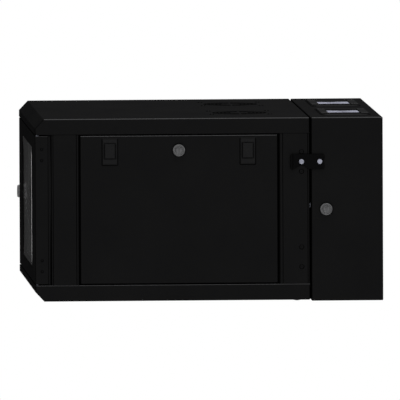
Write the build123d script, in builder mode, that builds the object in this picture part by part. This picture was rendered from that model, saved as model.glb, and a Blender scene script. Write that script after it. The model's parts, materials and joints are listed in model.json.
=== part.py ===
"""Wall mount network cabinet, six rack units high, in two sections: a shallow rear section that is
bolted to the wall, and a deep main section that swings away from it on hinges at its left side.
The origin is the middle of the wall bolts, on the wall. X runs to the right, Y into the wall, Z up.
Millimetres."""

import os

from build123d import *

# Overall sizes
cabinet_width = 600.0
rear_height = 330.0
rear_depth = 129.0
main_height = 328.0
main_depth = 494.0
section_gap = 2.7

# Sheet metal
cover_sheet = 1.2
frame_sheet = 1.5
bend_radius = 1.8

# Roof and floor covers of the main section
skirt_height = 26.4
chamfer_depth = 16.0
chamfer_height = 17.0
lip_return = 22.0
skirt_return = 11.0
vent_slot_length = 60.0
vent_slot_width = 5.0
vent_slot_pitch = 12.0
vent_slot_rows = 8
vent_from_front = 140.0
vent_across = 110.0

# Posts of the main section, measured back from the front plane
front_post_start = 32.0
front_post_depth = 43.0
rear_post_depth = 46.0
rear_post_margin = 3.0
post_recess = 0.5
post_width = 38.0
post_seat_depth = 10.0
post_seat_width = 18.0

# Channels that join the posts along the top and the bottom of each side
channel_outer_leg = 16.6
channel_inner_leg = 27.0

# Rack rails
rack_unit_height = 44.45
rack_hole_width = 9.5
rack_hole_pitch = 15.875
rack_hole_inset = 28.95
rack_rail_width = 36.0
rack_rail_depth = 30.0
front_rail_from_front = 70.0
rear_rail_from_rear = 62.0

# Side panels
panel_length = 355.6
panel_gap = 4.1
panel_depth = 9.0
panel_recess = 1.0
panel_start = 81.0
panel_seat_gap = 0.5
tongue_width = 20.0
tongue_length = 6.5
tongue_inset = 3.5
tongue_pitch = 240.0
tongue_slot_clearance = 2.0
tongue_slot_shift = 0.8

# Door
door_side_gap = 1.0
door_gap = 4.1
door_depth = 24.0
door_recess = 0.2
door_return = 12.0
door_edge_radius = 1.2
window_side_margin = 124.0
window_top_margin = 24.0
window_edge = 6.4
window_corner = 3.0
glass_thickness = 4.0
glass_recess = 0.4
glass_gap = 2.0
gasket_lap = 7.0
gasket_thickness = 3.0

# Door hinge pins
pin_radius = 2.3
pin_clearance = 0.05
pin_inset = 8.0
pin_from_front = 5.0
pin_engagement = 3.6
pin_handle_length = 12.0
pin_handle_radius = 1.6
pin_bracket_height = 30.0
pin_bracket_depth = 16.0
pin_bracket_reach = 13.0
rivet_radius = 2.0
rivet_spacing = 20.0
rivet_from_end = 33.5
rivet_from_front = 12.0

# Swing hinges between the sections
hinge_drop = 1.0
hinge_height = 51.0
hinge_spacing = 171.5
hinge_pin_radius = 3.0
hinge_pin_clearance = 0.05
hinge_barrel_radius = 5.0
hinge_leaf = 2.0
hinge_pin_head = 1.0
hinge_offset = 6.0
hinge_share = 1 / 3
hinge_play = 0.3
leaf_margin = 12.0
side_screw_spacing = 35.5
main_screw_inset = 14.8
rear_screw_inset = 15.3
side_screw_head = 10.0
side_screw_head_height = 3.2
side_screw_flange = 0.8
side_screw_radius = 2.5
side_screw_hole = 2.75
side_screw_length = 9.0

# Transit bracket that locks the two sections together
bracket_length = 60.0
bracket_height = 26.5
bracket_sheet = 2.5
bracket_front_margin = 19.2
bracket_slot_width = 6.4
bracket_notch_width = 28.6
bracket_notch_height = 9.0
bracket_corner = 2.5
bracket_tab_reach = 4.0
bracket_screw_play = 0.5

# Cam locks
lock_head_radius = 11.75
lock_head_height = 5.0
lock_head_dome = 3.0
lock_face_step = 0.9
lock_barrel_radius = 9.5
lock_flat = 8.2
lock_hole_clearance = 0.2
lock_plug_radius = 6.5
lock_plug_clearance = 0.05
lock_tail = 7.0
lock_nut_flats = 24.0
lock_nut_thickness = 4.0
lock_screw_radius = 5.0
lock_screw_height = 2.4
lock_key_width = 3.0
lock_key_length = 9.2
lock_key_depth = 3.0
cam_thickness = 2.0
cam_width = 14.0
cam_gap = 0.3
door_lock_barrel = 35.0
door_lock_cam = 18.0
door_lock_inset = 22.0
door_lock_slot_margin = 3.5
door_lock_slot_side = 1.0
rear_lock_barrel = 25.0
rear_lock_cam = 24.0
rear_lock_inset = 26.8
side_lock_barrel = 16.0
side_lock_cam = 24.0
side_lock_below_roof = 57.4

# Strike that the rear lock's cam catches
strike_sheet = 2.0
strike_inset = 36.0
strike_foot_low = 25.0
strike_neck_low = 1.0
strike_neck_high = 8.7
strike_hook_low = 11.0
strike_hook_high = 26.0
strike_hook_reach = 12.0
strike_hook_gap = 1.0
strike_slope = 13.0

# Slide latches of the side panels
latch_width = 27.8
latch_height = 47.5
latch_below_roof = 36.0
latch_offset = 124.0
latch_plate = 1.2
latch_corner = 5.0
latch_housing_depth = 7.0
latch_wall = 2.0
latch_pad_width = 19.3
latch_pad_height = 26.5
latch_pad_drop = 9.0
latch_pad_thickness = 1.3
latch_pad_gap = 0.15
latch_pad_ribs = 4
latch_rib_depth = 0.6
latch_stem_width = 12.0
latch_stem_height = 12.0
latch_travel = 5.0
latch_clearance = 0.35
latch_tongue_width = 14.0
latch_tongue_gap = 0.8

# Fans under the roof
fan_size = 120.0
fan_thickness = 25.0
fan_hole_pitch = 105.0
fan_bore_radius = 57.0
fan_hub_radius = 19.0
fan_motor_radius = 21.0
fan_base = 3.0
fan_strut_width = 6.0
fan_shaft_radius = 1.5
fan_shaft_clearance = 0.05
fan_shaft_height = 11.0
fan_shaft_bore = 13.0
fan_blades = 7
fan_blade_radius = 54.0
fan_blade_pitch = 38.0
fan_blade_tip_pitch = 25.0
fan_blade_chord = 24.0
fan_blade_root_chord = 16.0
fan_blade_root = 2.0
fan_blade_thickness = 1.6
fan_rotor_height = 17.0
fan_rotor_gap = 0.4
fan_across = 137.5
fan_from_rear = 117.0
fan_screw_radius = 2.1
fan_screw_head = 4.0
fan_screw_head_height = 1.4
fan_screw_taper = 25.0
fan_screw_length = 9.0
grille_radius = 51.5
grille_hub_radius = 17.5
grille_rings = 5
grille_rib = 2.4
grille_spokes = 8
grille_spoke_width = 3.0

# Cable entries of the rear section
entry_across = 138.0
entry_from_front = 67.0
entry_length = 200.0
entry_depth = 90.0
entry_corner = 12.0
entry_plate = 1.2
entry_neck_length = 176.0
entry_neck_depth = 66.0
entry_neck_height = 5.0
entry_clearance = 0.3
entry_opening = 86.0
entry_slot_depth = 62.0
entry_block_length = 141.0
entry_block_depth = 12.5
entry_block_height = 1.6
bristle_thickness = 3.0
bristle_slit = 5.4
bristle_corner = 2.5

# Rear section
rear_flange = 20.0
wall_slot_spacing = 500.0
wall_slot_rise = 260.0
wall_slot_length = 18.0
wall_slot_width = 9.0
back_opening_width = 300.0
back_opening_height = 100.0
back_opening_corner = 12.0

# Small parts of the main section
plug_radius = 4.5
plug_stem_radius = 3.0
plug_stem_length = 3.0
plug_height = 0.9
plug_taper = 20.0
earth_inset = 21.0
earth_from_side = 45.0
earth_flats = 13.0
earth_flange_radius = 7.5
earth_flange_height = 0.9
earth_hex_height = 2.2
earth_height = 3.7
earth_stud_radius = 3.0
earth_stud_length = 14.0

# Planes and places worked out from the sizes
side_x = cabinet_width / 2
roof_z = rear_height / 2
main_middle = roof_z - main_height / 2
floor_z = roof_z - main_height
rear_front_y = -rear_depth
main_rear_y = rear_front_y - section_gap
front_y = main_rear_y - main_depth
frame_top = roof_z - skirt_height
frame_bottom = floor_z + skirt_height
frame_height = frame_top - frame_bottom
swing_middle = main_middle - hinge_drop
hinge_centre = swing_middle + hinge_spacing / 2
post_x = side_x - post_recess
panel_x = side_x - panel_recess
panel_back_x = panel_x - panel_depth
panel_y = front_y + panel_start + panel_length / 2
panel_height = frame_height - 2 * panel_gap
panel_bottom = main_middle - panel_height / 2
seat_x = panel_back_x - panel_seat_gap
channel_x = seat_x - frame_sheet
channel_back_x = post_x - post_width
rack_side_x = channel_back_x
rack_clear_x = rack_side_x - rack_rail_width
front_post_y = front_y + front_post_start
front_post_end = front_post_y + front_post_depth
rear_post_end = main_rear_y - rear_post_margin
rear_post_y = rear_post_end - rear_post_depth
door_y = front_y + door_recess
door_back_y = front_y + door_depth
door_side_x = side_x - door_side_gap
door_width = 2 * door_side_x
door_height = frame_height - 2 * door_gap
window_width = door_width - 2 * window_side_margin
window_height = door_height - 2 * window_top_margin
rivet_from_middle = door_height / 2 - rivet_from_end
pin_x = side_x - pin_inset
pin_y = front_y + pin_from_front
hinge_x = -side_x - hinge_offset
hinge_y = (rear_front_y + main_rear_y) / 2
main_screw_y = main_rear_y - main_screw_inset
rear_screw_y = rear_front_y + rear_screw_inset
screw_heights = (hinge_centre - side_screw_spacing / 2, hinge_centre + side_screw_spacing / 2)
low_screw_heights = tuple(2 * swing_middle - height for height in screw_heights)
all_screw_heights = screw_heights + low_screw_heights
door_lock_x = -(door_side_x - door_lock_inset)
side_lock_z = roof_z - side_lock_below_roof
rear_lock_y = rear_front_y + rear_lock_inset
latch_top = roof_z - latch_below_roof
latch_z = latch_top - latch_height / 2
latch_ys = (panel_y - latch_offset, panel_y + latch_offset)
fan_y = main_rear_y - fan_from_rear
fan_top = roof_z - cover_sheet
entry_y = rear_front_y + entry_from_front
middle_plane = Plane.XY.offset(main_middle)
swing_plane = Plane.XY.offset(swing_middle)


def save(builder, name):
    """Label a finished piece and write it."""
    builder.part.label = name
    export_step(builder.part, f"parts/{name}.step")


def save_pair(right, name):
    """Write a piece of the right side and its mirror image on the left."""
    save(right, f"{name}_right")
    with BuildPart() as left:
        mirror(right.part, about=Plane.YZ)
    save(left, f"{name}_left")


def folded(points, plane, length, thickness=frame_sheet):
    """A strip of sheet folded along the points, thickened to the left of their direction."""
    with BuildPart() as strip:
        with BuildSketch(plane):
            with BuildLine():
                Polyline(*points)
                offset(amount=thickness, side=Side.LEFT)
            make_face()
        extrude(amount=length)
    return strip.part


os.makedirs("parts", exist_ok=True)

# Rear section: a welded tray, open to the front inside its return flange
with BuildPart() as rear_shell:
    with BuildSketch(Plane.XZ):
        Rectangle(cabinet_width, rear_height)
    extrude(amount=rear_depth)
    fillet(rear_shell.edges(), radius=bend_radius)
    with BuildSketch(Plane.XZ.offset(cover_sheet)):
        Rectangle(cabinet_width - 2 * cover_sheet, rear_height - 2 * cover_sheet)
    extrude(amount=rear_depth - 2 * cover_sheet, mode=Mode.SUBTRACT)
    with BuildSketch(Plane.XZ.offset(rear_depth - cover_sheet)):
        Rectangle(cabinet_width - 2 * rear_flange, rear_height - 2 * rear_flange)
    extrude(amount=cover_sheet, mode=Mode.SUBTRACT)
    with BuildSketch(Plane.XZ):
        RectangleRounded(back_opening_width, back_opening_height, back_opening_corner)
        with GridLocations(wall_slot_spacing, wall_slot_rise, 2, 2):
            SlotOverall(wall_slot_length, wall_slot_width)
    extrude(amount=cover_sheet, mode=Mode.SUBTRACT)
    with BuildSketch(Plane.XY.offset(-roof_z)):
        with Locations((-entry_across, entry_y), (entry_across, entry_y)):
            Rectangle(entry_neck_length, entry_neck_depth)
    extrude(amount=rear_height, mode=Mode.SUBTRACT)
    with BuildSketch(Plane.YZ):
        with Locations((rear_lock_y, swing_middle)):
            Circle(lock_barrel_radius + lock_hole_clearance)
        with Locations((rear_screw_y, hinge_centre)):
            Circle(side_screw_hole)
    extrude(amount=side_x, mode=Mode.SUBTRACT)
    with BuildSketch(Plane.YZ):
        with Locations(*[(rear_screw_y, z) for z in all_screw_heights]):
            Circle(side_screw_hole)
    extrude(amount=-side_x, mode=Mode.SUBTRACT)
save(rear_shell, "rear_shell")

# Cable entries: a moulded frame with two clamp blocks, set into the top and the bottom
with BuildPart() as entry:
    with BuildSketch(Plane.XY.offset(roof_z)):
        RectangleRounded(entry_length, entry_depth, entry_corner)
    extrude(amount=entry_plate)
    chamfer(entry.faces().sort_by(Axis.Z)[-1].edges(), length=entry_plate / 2)
    with BuildSketch(Plane.XY.offset(roof_z)):
        Rectangle(entry_neck_length - 2 * entry_clearance, entry_neck_depth - 2 * entry_clearance)
    extrude(amount=-entry_neck_height)
    with BuildSketch(Plane.XY.offset(roof_z + entry_plate)):
        with GridLocations(0, entry_slot_depth + entry_block_depth, 1, 2):
            RectangleRounded(entry_block_length, entry_block_depth, bristle_corner)
    extrude(amount=entry_block_height)
    with BuildSketch(Plane.XY.offset(roof_z - entry_neck_height)):
        Rectangle(entry_opening, entry_slot_depth)
    extrude(amount=entry_neck_height + entry_plate, mode=Mode.SUBTRACT)

bristle_length = (entry_slot_depth - bristle_slit) / 2
with BuildPart() as bristles:
    with BuildSketch(Plane.XY.offset(roof_z - bristle_thickness)) as tuft:
        with GridLocations(0, bristle_slit + bristle_length, 1, 2):
            Rectangle(entry_opening, bristle_length)
        inner_corners = tuft.vertices().filter_by(lambda v: abs(v.Y) < bristle_slit)
        chamfer(inner_corners, length=bristle_corner)
    extrude(amount=bristle_thickness)

entry_places = [Location((sign * entry_across, entry_y, 0)) for sign in (-1, 1)]
for piece, name in ((entry, "cable_entries"), (bristles, "cable_brushes")):
    with BuildPart() as on_top:
        with Locations(*entry_places):
            add(piece.part)
    save(on_top, f"{name}_top")
    with BuildPart() as underneath:
        mirror(on_top.part, about=Plane.XY)
    save(underneath, f"{name}_bottom")


# Roof and floor covers: folded trays with a sloping front, a short lip and return flanges
def cover_outline(inset):
    """Side view of the roof cover, drawn in by the inset on all sides."""
    with BuildSketch(Plane.YZ) as outline:
        with BuildLine():
            Polyline(
                (front_y, frame_top),
                (front_y, roof_z - chamfer_height),
                (front_y + chamfer_depth, roof_z),
                (main_rear_y, roof_z),
                (main_rear_y, frame_top),
                close=True,
            )
        make_face()
        if inset:
            offset(amount=-inset, kind=Kind.INTERSECTION)
    return outline.sketch


with BuildPart() as cover_blank:
    extrude(cover_outline(0), amount=side_x, both=True)
    bottom_edges = cover_blank.faces().sort_by(Axis.Z)[0].edges()
    fillet(cover_blank.edges() - bottom_edges, radius=bend_radius)
    extrude(cover_outline(cover_sheet), amount=side_x - cover_sheet, both=True, mode=Mode.SUBTRACT)
    opening_length = main_depth - lip_return - skirt_return
    opening_y = front_y + lip_return + opening_length / 2
    with BuildSketch(Plane.XY.offset(frame_top)):
        with Locations((0, opening_y)):
            Rectangle(cabinet_width - 2 * skirt_return, opening_length)
        with Locations((pin_x, pin_y)):
            Circle(pin_radius + pin_clearance)
    extrude(amount=cover_sheet, mode=Mode.SUBTRACT)


def grille_ring(inner, outer):
    """One ring of slots, parted by the spokes of the grille."""
    Circle(outer)
    Circle(inner, mode=Mode.SUBTRACT)


ring_step = (grille_radius - grille_hub_radius) / grille_rings
with BuildSketch() as grille:
    for ring in range(grille_rings):
        ring_start = grille_hub_radius + ring * ring_step
        with BuildSketch(mode=Mode.ADD):
            grille_ring(ring_start, ring_start + ring_step - grille_rib)
    with PolarLocations(0, grille_spokes // 2, angular_range=180):
        Rectangle(2 * grille_radius, grille_spoke_width, mode=Mode.SUBTRACT)
    with GridLocations(fan_hole_pitch, fan_hole_pitch, 2, 2):
        Circle(fan_screw_radius)

with BuildPart() as roof_cover:
    add(cover_blank.part)
    with BuildSketch(Plane.XY.offset(fan_top)):
        with Locations((-fan_across, fan_y), (fan_across, fan_y)):
            add(grille.sketch)
    extrude(amount=cover_sheet, mode=Mode.SUBTRACT)
save(roof_cover, "roof_cover")

earth_x = side_x - earth_from_side
earth_y = main_rear_y - earth_inset
with BuildPart() as floor_cover:
    mirror(cover_blank.part, about=middle_plane)
    with BuildSketch(Plane.XY.offset(floor_z)):
        with Locations((0, front_y + vent_from_front)):
            with GridLocations(2 * vent_across, vent_slot_pitch, 2, vent_slot_rows):
                SlotOverall(vent_slot_length, vent_slot_width)
        with Locations((earth_x, earth_y)):
            Circle(earth_stud_radius)
    extrude(amount=cover_sheet, mode=Mode.SUBTRACT)
    tongue_slot = cover_sheet + 2 * tongue_slot_clearance
    tongue_x = panel_x - tongue_inset - cover_sheet / 2
    with BuildSketch(Plane.XY.offset(frame_bottom)):
        with Locations((0, panel_y)):
            with GridLocations(2 * (tongue_x - tongue_slot_shift), tongue_pitch, 2, 2):
                Rectangle(tongue_slot, tongue_width + 2 * tongue_slot_clearance)
    extrude(amount=-cover_sheet, mode=Mode.SUBTRACT)
save(floor_cover, "floor_cover")

# Front posts: a face beside the door, an outer wall and a stepped seat for the side panel
post_plane = Plane.XY.offset(frame_bottom)
front_post_points = [
    (channel_back_x, front_post_y + frame_sheet),
    (post_x - frame_sheet, front_post_y + frame_sheet),
    (post_x - frame_sheet, front_post_end - frame_sheet),
    (seat_x - frame_sheet, front_post_end - frame_sheet),
    (seat_x - frame_sheet, front_post_end + post_seat_width),
]
front_post_strip = folded(list(reversed(front_post_points)), post_plane, frame_height)
with BuildPart() as front_post:
    add(front_post_strip)
save(front_post, "front_post_right")

slot_half = lock_barrel_radius + lock_hole_clearance
slot_low = main_middle - slot_half - door_lock_slot_margin
slot_high = main_middle + door_lock_cam + door_lock_slot_margin
with BuildPart() as front_post_left:
    mirror(front_post.part, about=Plane.YZ)
    with BuildSketch(Plane.XZ.offset(-front_post_y)):
        with Locations((door_lock_x, (slot_low + slot_high) / 2)):
            Rectangle(2 * (slot_half + door_lock_slot_side), slot_high - slot_low)
    extrude(amount=-frame_sheet, mode=Mode.SUBTRACT)
save(front_post_left, "front_post_left")

# Rear posts: the same section turned round, with the holes for hinge or bracket screws
rear_post_points = [
    (channel_back_x, rear_post_end - frame_sheet),
    (post_x - frame_sheet, rear_post_end - frame_sheet),
    (post_x - frame_sheet, rear_post_y + frame_sheet),
    (seat_x - frame_sheet, rear_post_y + frame_sheet),
    (seat_x - frame_sheet, rear_post_y - post_seat_width),
]
rear_post_strip = folded(rear_post_points, post_plane, frame_height)
with BuildPart() as rear_post_blank:
    add(rear_post_strip)
    with BuildSketch(Plane.YZ.offset(post_x - 2 * frame_sheet)):
        with Locations(*[(main_screw_y, z) for z in all_screw_heights]):
            Circle(plug_stem_radius)
    extrude(amount=2 * frame_sheet, mode=Mode.SUBTRACT)
with BuildPart() as rear_post_left:
    mirror(rear_post_blank.part, about=Plane.YZ)
save(rear_post_left, "rear_post_left")
with BuildPart() as rear_post_right:
    add(rear_post_blank.part)
    with BuildSketch(Plane.YZ.offset(post_x - 2 * frame_sheet)):
        with Locations((main_screw_y, hinge_centre)):
            Circle(side_screw_hole)
    extrude(amount=2 * frame_sheet, mode=Mode.SUBTRACT)
save(rear_post_right, "rear_post_right")

# Channels along the sides, between the posts
channel_start = front_post_y + frame_sheet
channel_length = rear_post_end - frame_sheet - channel_start
channel_plane = Plane(origin=(0, channel_start, 0), x_dir=(-1, 0, 0), z_dir=(0, 1, 0))
channel_points = [
    (-channel_x, frame_top - channel_outer_leg),
    (-channel_x, frame_top),
    (-channel_back_x, frame_top),
    (-channel_back_x, frame_top - channel_inner_leg),
]
with BuildPart() as channel:
    add(folded(list(reversed(channel_points)), channel_plane, channel_length))
with BuildPart() as upper_channels:
    add(channel.part)
    mirror(channel.part, about=Plane.YZ)
save(upper_channels, "upper_channels")
with BuildPart() as lower_channels:
    mirror(upper_channels.part, about=middle_plane)
save(lower_channels, "lower_channels")

# Rack rails: angles with three square holes to each rack unit
rail_height = frame_height - 2 * frame_sheet
rail_plane = Plane.XY.offset(frame_bottom + frame_sheet)
rack_units = int(rail_height // rack_unit_height)
hole_heights = []
for unit in range(rack_units):
    unit_middle = main_middle + (unit - (rack_units - 1) / 2) * rack_unit_height
    for step in (-1, 0, 1):
        hole_heights.append(unit_middle + step * rack_hole_pitch)


def rack_rail(face_y, direction):
    """A right-hand rail whose drilled face is at face_y, with its web on the far side of it."""
    points = [
        (rack_clear_x, face_y),
        (rack_side_x, face_y),
        (rack_side_x, face_y + direction * rack_rail_depth),
    ]
    if direction < 0:
        points.reverse()
    with BuildPart() as rail:
        add(folded(points, rail_plane, rail_height))
        with BuildSketch(Plane.XZ.offset(-face_y)):
            with Locations(*[(rack_side_x - rack_hole_inset, z) for z in hole_heights]):
                Rectangle(rack_hole_width, rack_hole_width)
        extrude(amount=2 * frame_sheet, both=True, mode=Mode.SUBTRACT)
    return rail


front_rail_y = front_y + front_rail_from_front
rear_rail_y = main_rear_y - rear_rail_from_rear
for face_y, direction, name in ((front_rail_y, 1, "front"), (rear_rail_y, -1, "rear")):
    right_rail = rack_rail(face_y, direction)
    with BuildPart() as rails:
        add(right_rail.part)
        mirror(right_rail.part, about=Plane.YZ)
    save(rails, f"{name}_rack_rails")

# Side panels: shallow trays with openings for the lock and the two latches
latch_hole_width = latch_width - 2 * latch_wall
latch_hole_height = latch_height - 2 * latch_wall
with BuildPart() as side_panel:
    with BuildSketch(Plane.YZ.offset(panel_back_x)):
        with Locations((panel_y, main_middle)):
            Rectangle(panel_length, panel_height)
    extrude(amount=panel_depth)
    back_face = side_panel.faces().sort_by(Axis.X)[0]
    fillet(side_panel.edges() - back_face.edges(), radius=bend_radius)
    with BuildSketch(Plane.YZ.offset(panel_back_x)):
        with Locations((panel_y, main_middle)):
            Rectangle(panel_length - 2 * cover_sheet, panel_height - 2 * cover_sheet)
    extrude(amount=panel_depth - cover_sheet, mode=Mode.SUBTRACT)
    with BuildSketch(Plane.XY.offset(panel_bottom + cover_sheet)):
        with Locations((tongue_x, panel_y)):
            with GridLocations(0, tongue_pitch, 1, 2):
                Rectangle(cover_sheet, tongue_width)
    extrude(amount=-tongue_length - cover_sheet)
    with BuildSketch(Plane.YZ.offset(panel_back_x)):
        with Locations((panel_y, side_lock_z)):
            Circle(lock_barrel_radius + lock_hole_clearance)
        with Locations(*[(y, latch_z) for y in latch_ys]):
            Rectangle(latch_hole_width, latch_hole_height)
    extrude(amount=panel_depth, mode=Mode.SUBTRACT)
save_pair(side_panel, "side_panel")

# Latch housings: a bezel with a slot for the slider's stem, which the pad covers
pad_top = latch_top - latch_pad_drop
pad_z = pad_top - latch_pad_height / 2
stem_slot_height = latch_stem_height + latch_travel + 2 * latch_clearance
stem_slot_z = pad_z + latch_travel / 2
stem_slot_width = latch_stem_width + 2 * latch_clearance
housing_x = panel_x - latch_housing_depth
with BuildPart() as latch_bezel:
    with BuildSketch(Plane.YZ.offset(panel_x)) as bezel_face:
        Rectangle(latch_width, latch_height)
        fillet(bezel_face.vertices(), radius=latch_corner)
    extrude(amount=latch_plate)
    chamfer(latch_bezel.faces().sort_by(Axis.X)[-1].edges(), length=latch_plate / 3)
    with BuildSketch(Plane.YZ.offset(panel_x)):
        Rectangle(latch_hole_width - 2 * latch_clearance, latch_hole_height - 2 * latch_clearance)
    extrude(amount=-latch_housing_depth)
    with BuildSketch(Plane.YZ.offset(housing_x)):
        with Locations((0, stem_slot_z - latch_z)):
            Rectangle(stem_slot_width, stem_slot_height)
    extrude(amount=latch_housing_depth + latch_plate, mode=Mode.SUBTRACT)
with BuildPart() as latch_bezels:
    with Locations(*[Location((0, y, latch_z)) for y in latch_ys]):
        add(latch_bezel.part)
save_pair(latch_bezels, "latch_bezels")

# Latch sliders: a ribbed finger pad, its stem, and a carrier whose tongue rises behind the upper channel
carrier_x = channel_x - frame_sheet - latch_tongue_gap
pad_bottom = pad_z - latch_pad_height / 2
tongue_top = frame_top - channel_outer_leg - latch_tongue_gap
carrier_top = tongue_top - latch_travel
pad_back_x = panel_x + latch_plate + latch_pad_gap
with BuildPart() as slider:
    with BuildSketch(Plane.YZ.offset(pad_back_x)):
        with Locations((0, pad_z)):
            Rectangle(latch_pad_width, latch_pad_height)
    extrude(amount=latch_pad_thickness)
    with BuildSketch(Plane.YZ.offset(pad_back_x + latch_pad_thickness)):
        with Locations((0, pad_z)):
            with GridLocations(0, latch_pad_height / (latch_pad_ribs + 1), 1, latch_pad_ribs):
                Rectangle(latch_pad_width - 2 * latch_wall, latch_wall)
    extrude(amount=-latch_rib_depth, mode=Mode.SUBTRACT)
    with BuildSketch(Plane.YZ.offset(housing_x - latch_clearance)):
        with Locations((0, pad_z)):
            Rectangle(latch_stem_width, latch_stem_height)
    extrude(amount=pad_back_x - housing_x + latch_clearance)
    with BuildSketch(Plane.YZ.offset(housing_x - latch_clearance)):
        with Locations((0, (pad_bottom + carrier_top) / 2)):
            Rectangle(latch_hole_width, carrier_top - pad_bottom)
    extrude(amount=carrier_x - housing_x + latch_clearance)
    with BuildSketch(Plane.YZ.offset(carrier_x)):
        with Locations((0, (pad_z + tongue_top) / 2)):
            Rectangle(latch_tongue_width, tongue_top - pad_z)
    extrude(amount=-2 * frame_sheet)
for y, place in zip(latch_ys, ("front", "rear")):
    with BuildPart() as latch_slider:
        with Locations((0, y, 0)):
            add(slider.part)
    save_pair(latch_slider, f"latch_slider_{place}")


# Cam locks: a domed head and a flatted barrel, a nut, a turning plug and its cam
def lock_body(face, barrel, panel_sheet):
    """Lock housing and its nut, on a plane whose Z leaves the panel."""
    with BuildPart() as housing:
        with BuildSketch(face):
            Circle(lock_head_radius)
        extrude(amount=lock_head_height)
        fillet(housing.edges().sort_by(Axis(face.origin, face.z_dir))[-1], radius=lock_head_dome)
        with BuildSketch(face):
            Circle(lock_barrel_radius)
            Rectangle(2 * lock_flat, 2 * lock_barrel_radius, mode=Mode.INTERSECT)
        extrude(amount=-barrel)
        with BuildSketch(face.offset(-barrel)):
            Circle(lock_plug_radius + lock_plug_clearance)
        extrude(amount=barrel + lock_head_height, mode=Mode.SUBTRACT)
    with BuildPart() as nut:
        with BuildSketch(face.offset(-panel_sheet)):
            RegularPolygon(lock_nut_flats / 2, 6, major_radius=False)
            with BuildSketch(mode=Mode.SUBTRACT):
                Circle(lock_barrel_radius)
                Rectangle(2 * lock_flat, 2 * lock_barrel_radius, mode=Mode.INTERSECT)
        extrude(amount=-lock_nut_thickness)
    return housing, nut


def lock_core(face, barrel, cam_length, cam_turn):
    """Turning plug with its key slot and cam screw, and the cam on its square tail."""
    cam_face = -barrel - cam_gap
    with BuildPart() as plug:
        with BuildSketch(face.offset(cam_face)):
            Circle(lock_plug_radius)
        extrude(amount=lock_head_height - lock_face_step - cam_face)
        with BuildSketch(face.offset(lock_head_height - lock_face_step)):
            Rectangle(lock_key_width, lock_key_length)
        extrude(amount=-lock_key_depth, mode=Mode.SUBTRACT)
        with BuildSketch(face.offset(cam_face)):
            Rectangle(lock_tail, lock_tail)
        extrude(amount=-cam_thickness)
        with BuildSketch(face.offset(cam_face - cam_thickness)):
            Circle(lock_screw_radius)
        extrude(amount=-lock_screw_height)
    with BuildPart() as cam:
        with BuildSketch(face.offset(cam_face)):
            Circle(cam_width / 2)
            with Locations(Location((0, 0, 0), cam_turn)):
                with Locations((cam_length / 2, 0)):
                    Rectangle(cam_length, cam_width)
            Rectangle(lock_tail, lock_tail, mode=Mode.SUBTRACT)
        extrude(amount=-cam_thickness)
    return plug, cam


def save_lock(name, face, barrel, panel_sheet, cam_length, cam_turn, both_sides=False):
    """Write the four pieces of one lock, or of one on each side."""
    pieces = (*lock_body(face, barrel, panel_sheet), *lock_core(face, barrel, cam_length, cam_turn))
    for piece, kind in zip(pieces, ("housing", "nut", "plug", "cam")):
        if both_sides:
            save_pair(piece, f"{name}_{kind}")
        else:
            save(piece, f"{name}_{kind}")


# On the right side a lock's plane has its X towards the rear and its Y up
side_lock_face = Plane(origin=(panel_x, panel_y, side_lock_z), x_dir=(0, 1, 0), z_dir=(1, 0, 0))
rear_lock_face = Plane(origin=(side_x, rear_lock_y, swing_middle), x_dir=(0, 1, 0), z_dir=(1, 0, 0))
door_lock_face = Plane(origin=(door_lock_x, door_y, main_middle), x_dir=(1, 0, 0), z_dir=(0, -1, 0))
cam_up = (0, 0, 90)
cam_to_front = (0, 0, 180)
save_lock("side_lock", side_lock_face, side_lock_barrel, cover_sheet, side_lock_cam, cam_to_front, True)
save_lock("rear_lock", rear_lock_face, rear_lock_barrel, cover_sheet, rear_lock_cam, cam_to_front)
save_lock("door_lock", door_lock_face, door_lock_barrel, cover_sheet, door_lock_cam, cam_up)

# Door: a folded frame with a turned edge around its window
window_outer_width = window_width + 2 * cover_sheet
window_outer_height = window_height + 2 * cover_sheet
door_tray_depth = door_back_y - door_y
rivet_heights = [
    main_middle + sign * (rivet_from_middle + step * rivet_spacing / 2)
    for sign in (-1, 1)
    for step in (-1, 1)
]
with BuildPart() as door_frame:
    with BuildSketch(Plane.XZ.offset(-door_y)):
        with Locations((0, main_middle)):
            Rectangle(door_width, door_height)
    extrude(amount=-door_tray_depth)
    fillet(door_frame.edges(), radius=door_edge_radius)
    with BuildSketch(Plane.XZ.offset(-door_y - cover_sheet)):
        with Locations((0, main_middle)):
            Rectangle(door_width - 2 * cover_sheet, door_height - 2 * cover_sheet)
            Rectangle(window_outer_width, window_outer_height, mode=Mode.SUBTRACT)
    extrude(amount=-(door_tray_depth - 2 * cover_sheet), mode=Mode.SUBTRACT)
    with BuildSketch(Plane.XZ.offset(-door_back_y + cover_sheet)):
        with Locations((0, main_middle)):
            Rectangle(door_width - 2 * door_return, door_height - 2 * door_return)
    extrude(amount=-cover_sheet, mode=Mode.SUBTRACT)
    with BuildSketch(Plane.XZ.offset(-door_y - window_edge)):
        with Locations((0, main_middle)):
            Rectangle(window_outer_width, window_outer_height)
    extrude(amount=-(door_tray_depth - window_edge), mode=Mode.SUBTRACT)
    with BuildSketch(Plane.XZ.offset(-door_y)):
        with Locations((0, main_middle)):
            RectangleRounded(window_width, window_height, window_corner)
        with Locations((door_lock_x, main_middle)):
            Circle(lock_barrel_radius + lock_hole_clearance)
    extrude(amount=-door_tray_depth, mode=Mode.SUBTRACT)
    with BuildSketch(Plane.XY.offset(main_middle - door_height / 2)):
        with Locations((pin_x, pin_y)):
            Circle(pin_radius + pin_clearance)
    extrude(amount=door_height, mode=Mode.SUBTRACT)
    with BuildSketch(Plane.YZ.offset(door_side_x - cover_sheet)):
        with Locations(*[(door_y + rivet_from_front, z) for z in rivet_heights]):
            Circle(rivet_radius)
    extrude(amount=cover_sheet, mode=Mode.SUBTRACT)
save(door_frame, "door_frame")

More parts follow.
